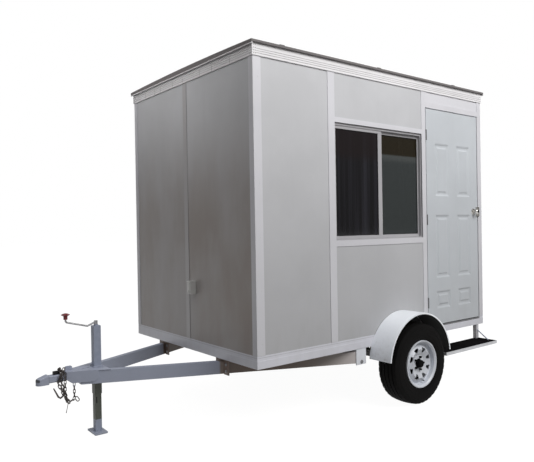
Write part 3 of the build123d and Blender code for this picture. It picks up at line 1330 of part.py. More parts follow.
post_front = STEP_BACK_INSET - STEP_POST
post_starts = (step_along[0] + STEP_POST_INSET, step_along[1] - STEP_POST_INSET - STEP_POST)
with BuildPart() as step_posts:
    for start in post_starts:
        post = (start, start + STEP_POST)
        block(left_wall, post, (post_front, STEP_BACK_INSET), (step_top, UNDERSIDE_HEIGHT))
save(step_posts, "step_posts")

with BuildPart() as step_braces:
    for start in post_starts:
        brace_x = start + STEP_POST / 2
        upper = left_wall.from_local_coords((brace_x, post_front, UNDERSIDE_HEIGHT - STEP_BRACE_DROP))
        lower = left_wall.from_local_coords((brace_x, post_front - STEP_BRACE_REACH, step_top))
        run = lower - upper
        with BuildSketch(Plane(origin=upper - run, z_dir=run)):
            Circle(STEP_BRACE_RADIUS)
        extrude(amount=3 * run.length)
    post_face = Plane(origin=left_wall.from_local_coords((0, post_front, 0)), z_dir=(0, 1, 0))
    split(bisect_by=post_face, keep=Keep.BOTTOM)
    split(bisect_by=Plane.XY.offset(step_top), keep=Keep.TOP)
save(step_braces, "step_braces")
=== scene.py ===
import math

import bmesh
import bpy
from mathutils import Matrix, Vector


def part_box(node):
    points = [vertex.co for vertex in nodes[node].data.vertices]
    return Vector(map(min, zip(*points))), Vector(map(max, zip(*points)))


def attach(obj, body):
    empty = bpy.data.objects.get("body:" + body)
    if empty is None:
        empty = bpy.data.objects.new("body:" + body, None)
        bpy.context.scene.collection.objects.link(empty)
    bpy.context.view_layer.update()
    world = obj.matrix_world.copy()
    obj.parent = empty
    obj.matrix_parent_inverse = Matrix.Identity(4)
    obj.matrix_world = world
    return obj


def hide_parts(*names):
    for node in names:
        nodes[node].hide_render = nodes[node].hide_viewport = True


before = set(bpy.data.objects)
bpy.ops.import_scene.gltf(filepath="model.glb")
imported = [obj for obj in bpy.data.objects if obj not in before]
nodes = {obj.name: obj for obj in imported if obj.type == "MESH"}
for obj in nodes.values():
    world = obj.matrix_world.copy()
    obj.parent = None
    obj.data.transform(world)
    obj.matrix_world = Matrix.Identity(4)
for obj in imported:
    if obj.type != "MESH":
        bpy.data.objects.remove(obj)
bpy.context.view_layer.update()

# Places that several pieces share
CABIN_FRONT = -0.8625
CABIN_REAR = 2.1375
CABIN_ENDS = ((CABIN_FRONT, -1), (CABIN_REAR, 1))
CABIN_SIDE = 1.01
BOTH_SIDES = (-1, 1)
AXLE_X = 0.7805
WHEEL_Y = 1.1395
FENDER_MIDDLE = (AXLE_X, 0.0, 0.385)
SASH_MEETING_X = 0.54
LEG_SLOT_X = (-1.7165, -1.7065)
LEG_SLOT_Z = (0.2335, 0.2835)
LEG_NEAR_FACE = (-0.0252, -0.025)
WHITE = (1.0, 1.0, 1.0, 1.0)
EVEN = (1.0, 1.0, 1.0)


def screen(red, green, blue):
    """The linear colour of three screen values from 0 to 255."""
    shares = [value / 255 for value in (red, green, blue)]
    return (*[s / 12.92 if s <= 0.04045 else ((s + 0.055) / 1.055) ** 2.4 for s in shares], 1.0)


class Wire:
    """A socket of a node. Arithmetic on it adds Math nodes."""

    def __init__(self, owner, socket):
        self.owner = owner
        self.socket = socket

    def maths(self, operation, first, second):
        return self.owner.node("ShaderNodeMath", {"operation": operation}, {0: first, 1: second})

    def __add__(self, other):
        return self.maths("ADD", self, other)

    def __radd__(self, other):
        return self.maths("ADD", other, self)

    def __sub__(self, other):
        return self.maths("SUBTRACT", self, other)

    def __rsub__(self, other):
        return self.maths("SUBTRACT", other, self)

    def __mul__(self, other):
        return self.maths("MULTIPLY", self, other)

    def __rmul__(self, other):
        return self.maths("MULTIPLY", other, self)

    def between(self, low, high):
        """0 at low and under, 1 at high and over, smooth in between."""
        return self.owner.node(
            "ShaderNodeMapRange",
            {"interpolation_type": "SMOOTHSTEP"},
            {"Value": self, "From Min": low, "From Max": high},
        )

    def inside(self, low, high, soft):
        """1 from low to high and 0 elsewhere, with soft borders."""
        return self.between(low - soft, low + soft) * (1 - self.between(high - soft, high + soft))


class Tree:
    """The nodes of a finish or of the sky."""

    def __init__(self, user):
        user.use_nodes = True
        self.tree = user.node_tree

    def node(self, kind, settings, sockets, output=0):
        """Any node: its settings first, then the values or links of its sockets."""
        made = self.tree.nodes.new(kind)
        for key, value in settings.items():
            if key == "stops":
                for stop, (position, colour) in zip(made.color_ramp.elements, value):
                    stop.position = position
                    stop.color = colour
            else:
                setattr(made, key, value)
        for key, value in sockets.items():
            if isinstance(value, Wire):
                self.tree.links.new(value.socket, made.inputs[key])
            else:
                made.inputs[key].default_value = value
        return Wire(self, made.outputs[output])

    def join(self, wire, name, socket):
        """Links a value to a node that the tree has from the start."""
        self.tree.links.new(wire.socket, self.tree.nodes[name].inputs[socket])


class Finish(Tree):
    """A material made of nodes on one Principled shader."""

    def __init__(self, name, **constants):
        self.material = bpy.data.materials.new(name)
        super().__init__(self.material)
        self.shader = self.tree.nodes["Principled BSDF"]
        for socket, value in constants.items():
            self.shader.inputs[socket.replace("_", " ")].default_value = value
        self.place = self.node("ShaderNodeTexCoord", {}, {}, "Object")

    def feed(self, **sockets):
        """Links values that change over the surface to the shader."""
        for socket, value in sockets.items():
            self.join(value, "Principled BSDF", socket.replace("_", " "))

    def vector(self, operation, first, second=(0.0, 0.0, 0.0), output=0):
        """Vector maths; output 1 is the value of a dot product."""
        sockets = {0: first, 1: second}
        return self.node("ShaderNodeVectorMath", {"operation": operation}, sockets, output)

    def facing(self):
        """The surface's own normal."""
        return self.node("ShaderNodeNewGeometry", {}, {}, "Normal")

    def axis(self, name):
        """One coordinate of the part's frame: X, Y or Z."""
        return self.node("ShaderNodeSeparateXYZ", {}, {0: self.place}, name)

    def noise(self, scale, detail=3.0, stretch=EVEN, rough=0.55):
        """Cloudy noise about 0.5, drawn out along an axis where the stretch is small."""
        spot = self.vector("MULTIPLY", self.place, stretch)
        return self.node(
            "ShaderNodeTexNoise",
            {},
            {"Vector": spot, "Scale": scale, "Detail": detail, "Roughness": rough},
        )

    def blend(self, share, first, second):
        """Mixes two colours."""
        return self.node("ShaderNodeMix", {"data_type": "RGBA"}, {0: share, 6: first, 7: second}, 2)

    def soft_edges(self, radius):
        """A normal that rounds sharp edges."""
        return self.node("ShaderNodeBevel", {"samples": 4}, {"Radius": radius})

    def edge_mask(self, rounded):
        """A mask that is 1 along the edges that a normal rounds."""
        agree = self.vector("DOT_PRODUCT", rounded, self.facing(), 1)
        return (1 - agree).between(0.02, 0.22)

    def within(self, soft, **spans):
        """A mask that is 1 between a low and a high place along each axis given."""
        mask = None
        for name, (low, high) in spans.items():
            span = self.axis(name).inside(low, high, soft)
            mask = span if mask is None else mask * span
        return mask

    def relief(self, height, depth, strength, normal=None):
        """A bump of a height field, on top of another normal if there is one."""
        under = {"Normal": normal} if normal else {}
        return self.node(
            "ShaderNodeBump", {}, {"Height": height, "Distance": depth, "Strength": strength, **under}
        )


def tint(colour, factor):
    """A colour made lighter or darker."""
    return (*[min(1.0, channel * factor) for channel in colour[:3]], 1.0)


GRIME = screen(118, 108, 92)
PRIMER = screen(96, 94, 92)
# Colours of painted shade towards the ground and of a warm painted reflection on the front
LOW_SHADE_BROWN = screen(44, 38, 32)
WARM_PAINTED_REFLECTION = screen(110, 82, 48)
RUBBER_DUST = screen(84, 79, 72)


def paint(
    name, colour, rough, skin, skin_depth, edge,
    grime=0.0, grime_top=1.0, wear=0.0, painted_low_shade=0.0, smear_and_reflection=0.0, marks=(),
):
    """Sprayed or coated sheet: mottled colour and faint run marks over a fine grained skin.

    Grime lies below its top, worn edges show primer, painted shade darkens it towards the ground,
    and a warm painted reflection of dark surroundings fades out towards the roof. Each mark is a
    colour, its share, the softness of its border and where it lies along the axes.
    """
    look = Finish(name)
    cloud = look.noise(1.7, 4.0)
    runs = look.noise(9.0, 3.0, (1.0, 1.0, 0.06))
    shade = look.blend(cloud.between(0.3, 0.7), tint(colour, 0.955), tint(colour, 1.03))
    shade = look.blend(runs.between(0.52, 0.75) * 0.2, shade, tint(colour, 0.87))
    rounded = look.soft_edges(edge)
    # Painted shade: darker towards the ground
    if painted_low_shade:
        shade = look.blend((1 - look.axis("Z").between(0.4, 2.9)) * painted_low_shade, shade, LOW_SHADE_BROWN)
    if grime:
        low = 1 - look.axis("Z").between(grime_top - 0.45, grime_top)
        dust = look.noise(14.0, 6.0, (1.0, 1.0, 0.35)).between(0.35, 0.8)
        shade = look.blend(low * dust * grime, shade, GRIME)
    if wear:
        chips = look.noise(120.0, 4.0).between(0.5, 0.62)
        shade = look.blend(look.edge_mask(rounded) * chips * wear, shade, PRIMER)
    # Painted reflection of dark surroundings: warm blotches, weaker on the far side, fading out towards
    # the roof
    if smear_and_reflection:
        broad = look.noise(1.3, 5.0, (1.0, 1.0, 0.6))
        small = look.noise(5.0, 4.0, (1.0, 1.0, 0.25))
        blots = (broad * 0.65 + small * 0.35).between(0.36, 0.62) * 0.6
        far_side = look.axis("Y").between(-1.0, 1.0) * 0.25
        low = 1 - look.axis("Z").between(1.5, 2.75)
        shade = look.blend((blots + 0.75 - far_side) * low * smear_and_reflection, shade, WARM_PAINTED_REFLECTION)
    for mark, share, soft, spans in marks:
        shade = look.blend(look.within(soft, **spans) * share, shade, mark)
    grain = look.noise(skin, 2.0)
    look.feed(
        Base_Color=shade,
        Roughness=rough + (cloud - 0.5) * 0.12 + (grain - 0.5) * 0.1,
        Normal=look.relief(grain, skin_depth, 0.35, rounded),
    )
    return look.material


def metal(name, colour, rough, stretch=EVEN, edge=0.001, stain=0.3):
    """Bare or plated metal: fine brushing, cloudy gloss and a little staining."""
    look = Finish(name)
    brush = look.noise(160.0, 3.0, stretch)
    cloud = look.noise(11.0, 4.0)
    spots = look.noise(46.0, 5.0).between(0.56, 0.74)
    shade = look.blend(cloud.between(0.3, 0.7), tint(colour, 0.88), tint(colour, 1.06))
    shade = look.blend(spots * stain, shade, tint(colour, 0.45))
    look.feed(
        Base_Color=shade,
        Metallic=0.95 - spots * stain,
        Roughness=rough + (cloud - 0.5) * 0.16 + brush * 0.06,
        Normal=look.relief(brush, 0.00015, 0.3, look.soft_edges(edge)),
    )
    return look.material


def rubber(name, colour, rough, grain, depth, dust, shine=0.25):
    """Rubber or moulded black: matt, with pale dust lying in its grain."""
    look = Finish(name, Specular_IOR_Level=shine)
    cloud = look.noise(6.0, 5.0)
    skin = look.noise(grain, 3.0)
    shade = look.blend(cloud.between(0.3, 0.75), tint(colour, 0.8), tint(colour, 1.25))
    shade = look.blend(skin.between(0.55, 0.8) * cloud * dust, shade, RUBBER_DUST)
    look.feed(
        Base_Color=shade,
        Roughness=rough + (skin - 0.5) * 0.2,
        Normal=look.relief(skin, depth, 0.4),
    )
    return look.material


def fender_coat(name, colour):
    """Gloss white outside; black undercoat on the side that faces the wheel, also painted shade under
    the arch.
    """
    look = Finish(name)
    cloud = look.noise(3.0, 4.0)
    spray = look.noise(130.0, 3.0)
    from_hub = look.vector("SUBTRACT", look.place, FENDER_MIDDLE)
    spoke = look.vector("NORMALIZE", look.vector("MULTIPLY", from_hub, (1.0, 0.0, 1.0)))
    away = look.vector("DOT_PRODUCT", spoke, look.facing(), 1)
    # Black undercoat on the faces towards the wheel, also standing as painted shade under the arch
    inside = 1 - away.between(-0.35, -0.25)
    shade = look.blend(cloud.between(0.3, 0.7), tint(colour, 0.96), tint(colour, 1.02))
    low = 1 - look.axis("Z").between(0.4, 0.75)
    splash = look.noise(30.0, 6.0).between(0.45, 0.8)
    shade = look.blend(low * splash * 0.25, shade, GRIME)
    undercoat_and_shade = look.blend(spray, screen(20, 20, 21), screen(38, 37, 36))
    look.feed(
        Base_Color=look.blend(inside, shade, undercoat_and_shade),
        Roughness=0.26 + inside * 0.5 + cloud * 0.05,
        Normal=look.relief(spray, 0.0003, 0.25, look.soft_edges(0.002)),
    )
    return look.material


def plywood(name):
    """Floor board: long grain with darker veins and worn sheen."""
    look = Finish(name)
    grain = look.noise(18.0, 6.0, (0.12, 1.6, 1.0), 0.7)
    veins = look.noise(5.0, 4.0, (0.15, 3.0, 1.0))
    shade = look.blend(grain.between(0.3, 0.7), screen(150, 118, 82), screen(188, 156, 116))
    shade = look.blend(veins.between(0.55, 0.7) * 0.5, shade, screen(116, 84, 54))
    look.feed(
        Base_Color=shade,
        Roughness=0.55 + grain * 0.2,
        Normal=look.relief(grain, 0.0004, 0.4),
    )
    return look.material


def pane(name):
    """Smoked window glass, the front sash darker and streaked, the rear one lighter as a painted
    reflection, each pane browner along its top.
    """
    look = Finish(name, IOR=1.5)
    low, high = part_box("window_glass")
    height = (look.axis("Z") - low[2]) * (1 / (high[2] - low[2]))
    smear_and_reflection = look.noise(7.0, 4.0, (1.0, 1.0, 0.3))
    streaks = look.noise(24.0, 2.0, (1.0, 1.0, 0.015)).between(0.35, 0.7)
    # The rear pane painted lighter than the front: painted reflection
    rear = look.axis("X").between(SASH_MEETING_X - 0.01, SASH_MEETING_X + 0.01)
    front_pane = look.blend(streaks, screen(20, 20, 24), screen(42, 42, 49))
    front_pane = look.blend(height.between(0.68, 0.8) * 0.7, front_pane, screen(30, 22, 23))
    rear_pane = look.blend(height.between(0.72, 0.78), screen(64, 69, 70), screen(82, 86, 86))
    rear_pane = look.blend(height.between(0.795, 0.815), rear_pane, screen(42, 36, 24))
    look.feed(
        Base_Color=look.blend(rear, front_pane, rear_pane),
        Roughness=0.04 + smear_and_reflection * 0.06,
        Alpha=0.9 - rear * 0.22,
    )
    return look.material


def jack_paint(name, lowest, highest, slot_shade=False):
    """The jack's square tubes: greased dark steel, painted only between two heights."""
    look = Finish(name)
    cloud = look.noise(26.0, 4.0)
    streak = look.noise(60.0, 3.0, (1.0, 1.0, 0.06))
    height = look.axis("Z") + (cloud - 0.5) * 0.01
    painted = height.inside(lowest, highest, 0.003)
    greasy = look.blend(cloud * 0.6 + streak * 0.4, screen(62, 65, 59), screen(90, 93, 86))
    coat = look.blend(cloud, screen(132, 140, 158), screen(156, 163, 181))
    shade = look.blend(painted, greasy, coat)
    # A dark slot on the leg's near face: painted shade of an opening
    if slot_shade:
        across = look.axis("X").inside(*LEG_SLOT_X, 0.001)
        along = look.axis("Z").inside(*LEG_SLOT_Z, 0.0025)
        near_face = 1 - look.axis("Y").between(*LEG_NEAR_FACE)
        shade = look.blend(across * along * near_face, shade, screen(14, 13, 12))
    look.feed(
        Base_Color=shade,
        Metallic=(1 - painted) * 0.4,
        Roughness=0.42 + cloud * 0.2,
        Normal=look.relief(cloud, 0.0003, 0.3, look.soft_edges(0.002)),
    )
    return look.material


PANEL_GREY = screen(202, 203, 207)
TRIM_WHITE = screen(220, 220, 226)
CHASSIS_GREY = screen(158, 164, 181)
FASCIA_WHITE = screen(238, 237, 240)
GROOVE_SHADE = screen(92, 88, 86)
STRIP_SHADE = screen(150, 146, 143)

# Marks on the finishes, each with the span along every axis that bounds it
FASCIA_RIBS = (2.8894, 2.906, 2.9225)
FASCIA_JOINTS = (-0.72, -0.46, -0.27, 0.02, 0.2, 0.43, 0.55, 0.74)
# Painted shade in the fascia's three grooves, then dark sheet joints across its front
FASCIA_MARKS = [(GROOVE_SHADE, 0.4, 0.0008, {"Z": (z - 0.002, z + 0.002)}) for z in FASCIA_RIBS]
FASCIA_MARKS += [
    (GROOVE_SHADE, 0.5, 0.001, {"X": (-0.9, -0.85), "Y": (y - 0.003, y + 0.003), "Z": (2.872, 2.92)})
    for y in FASCIA_JOINTS
]
# Painted shade: a dark line along the step of the base trim's lip
BASE_LIP = [(GROOVE_SHADE, 0.45, 0.0008, {"Z": (0.6165, 0.6195)})]
DRIP_EDGE = [(FASCIA_WHITE, 1.0, 0.0006, {"Z": (2.9, 2.9555)})]
DOOR_HEADER = [(TRIM_WHITE, 1.0, 0.001, {"X": (1.16, 2.2), "Y": (-1.1, -0.9), "Z": (2.64, 2.98)})]
# Painted shade on the middle strip of the front wall
FRONT_STRIP = [
    (STRIP_SHADE, 0.55, 0.002, {"X": (-0.9, -0.855), "Y": (-0.06, 0.06), "Z": (0.62, 2.87)}),
]
# Brown primer on the rails under the cabin, turning lighter towards the crossbeam as painted light
UNDER_CABIN = [
    (screen(112, 96, 84), 0.95, 0.01, {"X": (-0.872, 5.0)}),
    (screen(205, 200, 200), 0.9, 0.4, {"X": (0.0, 5.0)}),
]
# A painted shade patch for a recess in the nose's tip, and a dark seam where the nose meets the neck
COUPLER_MARKS = [
    (screen(34, 35, 40), 0.9, 0.002, {"X": (-2.2, -2.142), "Z": (0.471, 0.491)}),
    (screen(70, 73, 82), 0.7, 0.001, {"X": (-2.0765, -2.073)}),
]

# What the finishes of panels, trims and chassis steel have in common: gloss, skin and dirt, and on the
# panels painted shade towards the ground
PANEL = dict(rough=0.42, skin=260.0, skin_depth=0.0003, edge=0.001, grime=0.1, grime_top=1.0, painted_low_shade=0.3)
TRIM = dict(rough=0.36, skin=180.0, skin_depth=0.0002, edge=0.0015, grime=0.1, grime_top=0.9)
STEEL = dict(rough=0.4, skin=110.0, skin_depth=0.0003, edge=0.002, grime=0.12, grime_top=0.6, wear=0.5)

# Panels, trims, base trims and the door darken towards the ground as painted shade; the front skin also
# has a warm painted reflection
panel_skin = paint("panel_skin", PANEL_GREY, **PANEL, marks=DOOR_HEADER)
front_skin = paint("front_skin", PANEL_GREY, **PANEL, smear_and_reflection=0.4)
trim_white = paint("trim_white", TRIM_WHITE, **TRIM, painted_low_shade=0.2, marks=FRONT_STRIP)
base_white = paint("base_white", screen(226, 227, 236), **TRIM, painted_low_shade=0.16, marks=BASE_LIP)
fascia_white = paint("fascia_white", FASCIA_WHITE, 0.5, 120.0, 0.0003, 0.001, marks=FASCIA_MARKS)
door_paint = paint(
    "door_paint", screen(205, 210, 216), 0.36, 220.0, 0.0002, 0.002,
    grime=0.08, grime_top=1.1, painted_low_shade=0.22,
)
membrane = paint("roof_membrane", screen(112, 108, 109), 0.75, 60.0, 0.0012, 0.002, marks=DRIP_EDGE)
chassis_paint = paint("chassis_paint", CHASSIS_GREY, **STEEL)
rail_paint = paint("rail_paint", CHASSIS_GREY, **STEEL, marks=UNDER_CABIN)
coupler_paint = paint("coupler_paint", CHASSIS_GREY, **STEEL, marks=COUPLER_MARKS)
cleat_brown = paint("cleat_brown", screen(124, 108, 100), **{**STEEL, "rough": 0.5, "grime": 0.2})
running_gear = paint(
    "running_gear_black", screen(24, 24, 26), 0.5, 90.0, 0.0004, 0.002,
    grime=0.2, grime_top=0.7, wear=0.4,
)
beam_white = paint(
    "beam_white", screen(226, 229, 236), 0.34, 70.0, 0.0002, 0.002, grime=0.15, grime_top=0.6
)
fender_white = fender_coat("fender_white", screen(244, 248, 255))
rim_white = paint(
    "rim_white", screen(206, 210, 218), 0.34, 80.0, 0.0003, 0.0015,
    grime=0.1, grime_top=0.7, wear=0.3,
)
inlet_plastic = paint("inlet_plastic", screen(218, 218, 216), 0.45, 200.0, 0.0002, 0.001)
knob_red = paint("knob_red", screen(112, 18, 24), 0.38, 150.0, 0.0003, 0.001)
sash_metal = paint("sash_aluminium", screen(176, 175, 179), 0.4, 200.0, 0.0002, 0.0008)
plated = metal("plated_steel", screen(146, 146, 148), 0.34, edge=0.0006, stain=0.35)
door_chrome = metal("door_furniture", screen(188, 186, 182), 0.22, edge=0.0006, stain=0.12)
hinge_steel = metal("hinge_steel", screen(120, 120, 122), 0.42)
chain_steel = metal("chain_steel", screen(86, 81, 79), 0.45, edge=0.0006, stain=0.5)
step_metal = metal("step_edge", screen(196, 197, 200), 0.4, (0.05, 1.0, 1.0), stain=0.15)
tyre_rubber = rubber("tyre_rubber", screen(9, 8, 8), 0.85, 140.0, 0.0006, dust=0.06, shine=0.12)
step_grip = rubber("step_grip", screen(20, 19, 20), 0.95, 420.0, 0.0012, dust=0.05, shine=0.03)
hub_black = rubber("hub_black", screen(6, 6, 7), 0.8, 200.0, 0.0002, dust=0.03, shine=0.08)
latch_black = rubber("latch_black", screen(18, 18, 19), 0.5, 200.0, 0.0002, dust=0.1)
glazing_rubber = rubber("glazing_rubber", screen(26, 26, 27), 0.7, 300.0, 0.0002, dust=0.1)
deck_board = plywood("deck_board")
smoked_pane = pane("smoked_pane")
leg_steel = jack_paint("jack_leg_steel", -1.0, 0.103, slot_shade=True)
jack_steel = jack_paint("jack_tube_paint", 0.416, 3.0)

NODE_FINISHES = {
    front_skin: ("front_wall_panels",),
    panel_skin: ("rear_wall_panels", "right_wall_panels", "left_wall_panels", "roof_panel"),
    base_white: ("base_trims",),
    trim_white: ("corner_trims", "wall_strips", "window_trims", "door_frame", "step_posts"),
    fascia_white: ("roof_fascia", "fascia_caps"),
    door_paint: ("door_leaf",),
    membrane: ("roof_sheet",),
    chassis_paint: ("jack_foot", "step_braces"),
    rail_paint: ("drawbar_rails",),
    coupler_paint: ("hitch_coupler",),
    cleat_brown: ("drawbar_cleats",),
    jack_steel: ("jack_tube",),
    running_gear: ("axle_beam", "leaf_springs", "spring_hangers", "floor_rails", "floor_joists"),
    hub_black: ("left_hub", "right_hub"),
    fender_white: ("fenders",),
    beam_white: ("crossbeam",),
    rim_white: ("left_rim", "right_rim"),
    inlet_plastic: ("power_inlet",),
    knob_red: ("crank_knob",),
    sash_metal: ("window_frame", "window_sashes"),
    plated: ("crank_rod",),
    door_chrome: ("door_knobs", "latch_guard"),
    hinge_steel: ("door_hinge_pins", "door_hinge_leaves", "door_threshold"),
    step_metal: ("step_frame",),
    tyre_rubber: ("left_tyre", "right_tyre"),
    step_grip: ("step_tread",),
    latch_black: ("coupler_latch",),
    chain_steel: ("safety_chain",),
    deck_board: ("floor_deck",),
    smoked_pane: ("window_glass",),
    leg_steel: ("jack_leg",),
}
for finish, names in NODE_FINISHES.items():
    for name in names:
        nodes[name].data.materials.clear()
        nodes[name].data.materials.append(finish)


def add(mesh, name):
    """Puts a mesh into the scene as an object at the origin."""
    made = bpy.data.objects.new(name, mesh)
    bpy.context.scene.collection.objects.link(made)
    return made


def fitting(name, body, finish, build):
    """A small piece: build fills an empty mesh, which then rides on a body of the part."""
    shape = bmesh.new()
    build(shape)
    bmesh.ops.recalc_face_normals(shape, faces=shape.faces[:])
    mesh = bpy.data.meshes.new(name)
    shape.to_mesh(mesh)
    shape.free()
    mesh.materials.append(finish)
    for face in mesh.polygons:
        face.use_smooth = True
    mesh.set_sharp_from_angle(angle=math.radians(32))
    made = add(mesh, name)
    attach(made, body)
    return made


def lathe(shape, profile, place, axis, segments=20, ring=False, dip=None):
    """Turns (radius, along) points about an axis; a ring joins its last point to its first."""
    turn = Vector(axis).to_track_quat("Z", "X").to_matrix()
    rows = []
    for step in range(segments):
        angle = math.tau * step / segments
        row = []
        for radius, along in profile:
            reach = radius - (dip(step, radius, along) if dip else 0.0)
            spot = Vector((reach * math.cos(angle), reach * math.sin(angle), along))
            row.append(shape.verts.new(Vector(place) + turn @ spot))
        rows.append(row)
    count = len(profile)
    for step in range(segments):
        near, far = rows[step], rows[(step + 1) % segments]
        for here in range(count if ring else count - 1):
            there = (here + 1) % count
            shape.faces.new((near[here], near[there], far[there], far[here]))
    if not ring:
        shape.faces.new([row[0] for row in rows])
        shape.faces.new([row[-1] for row in rows])


def tube(shape, points, radii, sides=8, ring=False):
    """A round bar along points; a ring joins its ends."""
    points = [Vector(point) for point in points]
    count = len(points)
    side = None
    rows = []
    for here, point in enumerate(points):
        after = points[(here + 1) % count] if ring or here + 1 < count else point
        before = points[here - 1] if ring or here else point
        along = (after - before).normalized()
        if side is None:
            side = along.orthogonal()
        side = (side - along * side.dot(along)).normalized()
        other = along.cross(side)
        radius = radii[here] if isinstance(radii, (list, tuple)) else radii
        angles = [math.tau * turn / sides for turn in range(sides)]
        rows.append([
            shape.verts.new(point + (side * math.cos(a) + other * math.sin(a)) * radius) for a in angles
        ])
    for here in range(count if ring else count - 1):
        near, far = rows[here], rows[(here + 1) % count]
        for turn in range(sides):
            there = (turn + 1) % sides
            shape.faces.new((near[turn], near[there], far[there], far[turn]))
    if not ring:
        shape.faces.new(rows[0])
        shape.faces.new(rows[-1])


def slab(shape, low, high, soft):
    """A block between two corners with its edges eased."""
    size = Vector(high) - Vector(low)
    middle = (Vector(high) + Vector(low)) / 2
    place = Matrix.Translation(middle) @ Matrix.Diagonal((*size, 1.0))
    made = bmesh.ops.create_cube(shape, size=1.0, matrix=place)
    edges = {edge for vert in made["verts"] for edge in vert.link_edges}
    bmesh.ops.bevel(shape, geom=list(edges), offset=soft, segments=2, affect="EDGES", profile=0.7)


def scaled(profile, size):
    """A profile of (radius, along) points at another size."""
    return [(radius * size, along * size) for radius, along in profile]


def hex_bolt(shape, place, axis, radius):
    """A hexagon head on a washer."""
    washer = ((1.5, 0.0), (1.5, 0.22), (0.5, 0.24))
    head = ((1.0, 0.2), (1.0, 0.8), (0.86, 0.95), (0.2, 1.0))
    lathe(shape, scaled(washer, radius), place, axis, 18)
    lathe(shape, scaled(head, radius), place, axis, 6)


def rivet(shape, place, axis, radius):
    """A low domed head."""
    lathe(shape, scaled(((1.0, -0.2), (0.82, 0.3), (0.3, 0.5)), radius), place, axis, 10)


def weld(shape, points, radius):
    """A rippled bead along points."""
    line = []
    for start, end in zip(points, points[1:]):
        start, end = Vector(start), Vector(end)
        steps = max(2, int((end - start).length / (radius * 1.1)))
        line += [start.lerp(end, step / steps) for step in range(steps)]
    line.append(Vector(points[-1]))
    tube(shape, line, [radius * (1.0 if step % 2 else 0.78) for step in range(len(line))], 7)


def link(shape, first, last, normal, bend, wire):
    """A chain link of round wire about the middles of its two end bends."""
    first, last, normal = Vector(first), Vector(last), Vector(normal)
    along = (last - first).normalized()
    across = normal.cross(along).normalized()
    points = []
    for place, start in ((last, -90), (first, 90)):
        for step in range(9):
            turn = math.radians(start + step * 22.5)
            points.append(place + (along * math.cos(turn) + across * math.sin(turn)) * bend)
    tube(shape, points, wire, 8, True)


# Tyres: ribbed tread with notched shoulders and rings on the sidewalls
TYRE_CROWN = 0.359
TREAD_HALF = 0.0905
TREAD_GROOVES = (-0.058, -0.02, 0.02, 0.058)
GROOVE_HALF = 0.0048
GROOVE_DEPTH = 0.0075
SIDEWALL = (
    (0.351, 0.0905), (0.3455, 0.0938), (0.338, 0.097), (0.327, 0.1004), (0.315, 0.103),
    (0.314, 0.1046), (0.3085, 0.1056), (0.3075, 0.1044), (0.29, 0.1062), (0.266, 0.1066),
    (0.265, 0.1074), (0.261, 0.1074), (0.26, 0.1064), (0.24, 0.1048), (0.239, 0.1058),
    (0.235, 0.1054), (0.234, 0.1042), (0.22, 0.1008), (0.213, 0.0985), (0.209, 0.0958),
    (0.1925, 0.095),
)
NOTCH_DEPTH = 0.004
NOTCH_EVERY = 4
SHOULDER_RADIUS = 0.336
SHOULDER_ALONG = 0.066


def crown(across):
    """The tread's radius at a distance from the tyre's middle."""
    return TYRE_CROWN - 0.008 * (across / TREAD_HALF) ** 2


def tyre_section():
    """The tyre's closed outline as (radius, along) points, from bead to bead over the tread."""
    tread = []
    for groove in TREAD_GROOVES:
        for across, depth in ((-GROOVE_HALF, 0.0), (-GROOVE_HALF * 0.7, GROOVE_DEPTH),
                              (GROOVE_HALF * 0.7, GROOVE_DEPTH), (GROOVE_HALF, 0.0)):
            tread.append((crown(groove + across) - depth, groove + across))
    inner = [(radius, -along) for radius, along in reversed(SIDEWALL)]
    return inner + tread + list(SIDEWALL)


def shoulder_notch(step, radius, along):
    """How far the tread is cut away at a step round the tyre."""
    shoulder = radius > SHOULDER_RADIUS and abs(along) > SHOULDER_ALONG
    return NOTCH_DEPTH if shoulder and step % NOTCH_EVERY == 0 else 0.0


VALVE_STEM = (
    (0.006, 0.0), (0.006, 0.016), (0.0042, 0.018), (0.0042, 0.028), (0.005, 0.029), (0.005, 0.04),
    (0.003, 0.042),
)
DRUM_SECTION = (
    (0.044, -0.045), (0.138, -0.045), (0.138, -0.03), (0.15, -0.028), (0.15, 0.03), (0.144, 0.037),
    (0.06, 0.042), (0.044, 0.042),
)
for side, name in ((-1, "left"), (1, "right")):
    middle = (AXLE_X, side * WHEEL_Y, TYRE_CROWN)
    outward = (0, side, 0)
    valve_foot = (AXLE_X + 0.045, side * (WHEEL_Y + 0.05), TYRE_CROWN - 0.157)
    tyre = fitting(
        f"{name}_tyre_tread", f"{name}_wheel", tyre_rubber,
        lambda shape: lathe(shape, tyre_section(), middle, (0, 1, 0), 160, True, shoulder_notch),
    )
    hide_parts(f"{name}_tyre")
    fitting(
        f"{name}_valve", f"{name}_wheel", glazing_rubber,
        lambda shape: lathe(shape, VALVE_STEM, valve_foot, outward, 12),
    )
    fitting(
        f"{name}_drum", f"{name}_wheel", hub_black,
        lambda shape: lathe(shape, DRUM_SECTION, middle, outward, 48, True),
    )


# Black plates on the wall behind the wheels: painted shade inside the arches
def arch_shade_plates(shape):
    x, _, z = FENDER_MIDDLE
    reach, lower_edge, steps = 0.42, 0.54, 28
    first = math.asin((lower_edge - z) / reach)
    arc = [first + (math.pi - 2 * first) * step / steps for step in range(steps + 1)]
    rim = [(x + reach * math.cos(angle), z + reach * math.sin(angle)) for angle in arc]
    for side in BOTH_SIDES:
        near, far = [
            [shape.verts.new((along, side * depth, height)) for along, height in rim]
            for depth in (1.0105, 1.0135)
        ]
        shape.faces.new(near)
        shape.faces.new(far)
        for here in range(len(arc)):
            there = (here + 1) % len(arc)
            shape.faces.new((near[here], near[there], far[there], far[here]))


fitting("arch_shade_plates", "trailer", running_gear, arch_shade_plates)


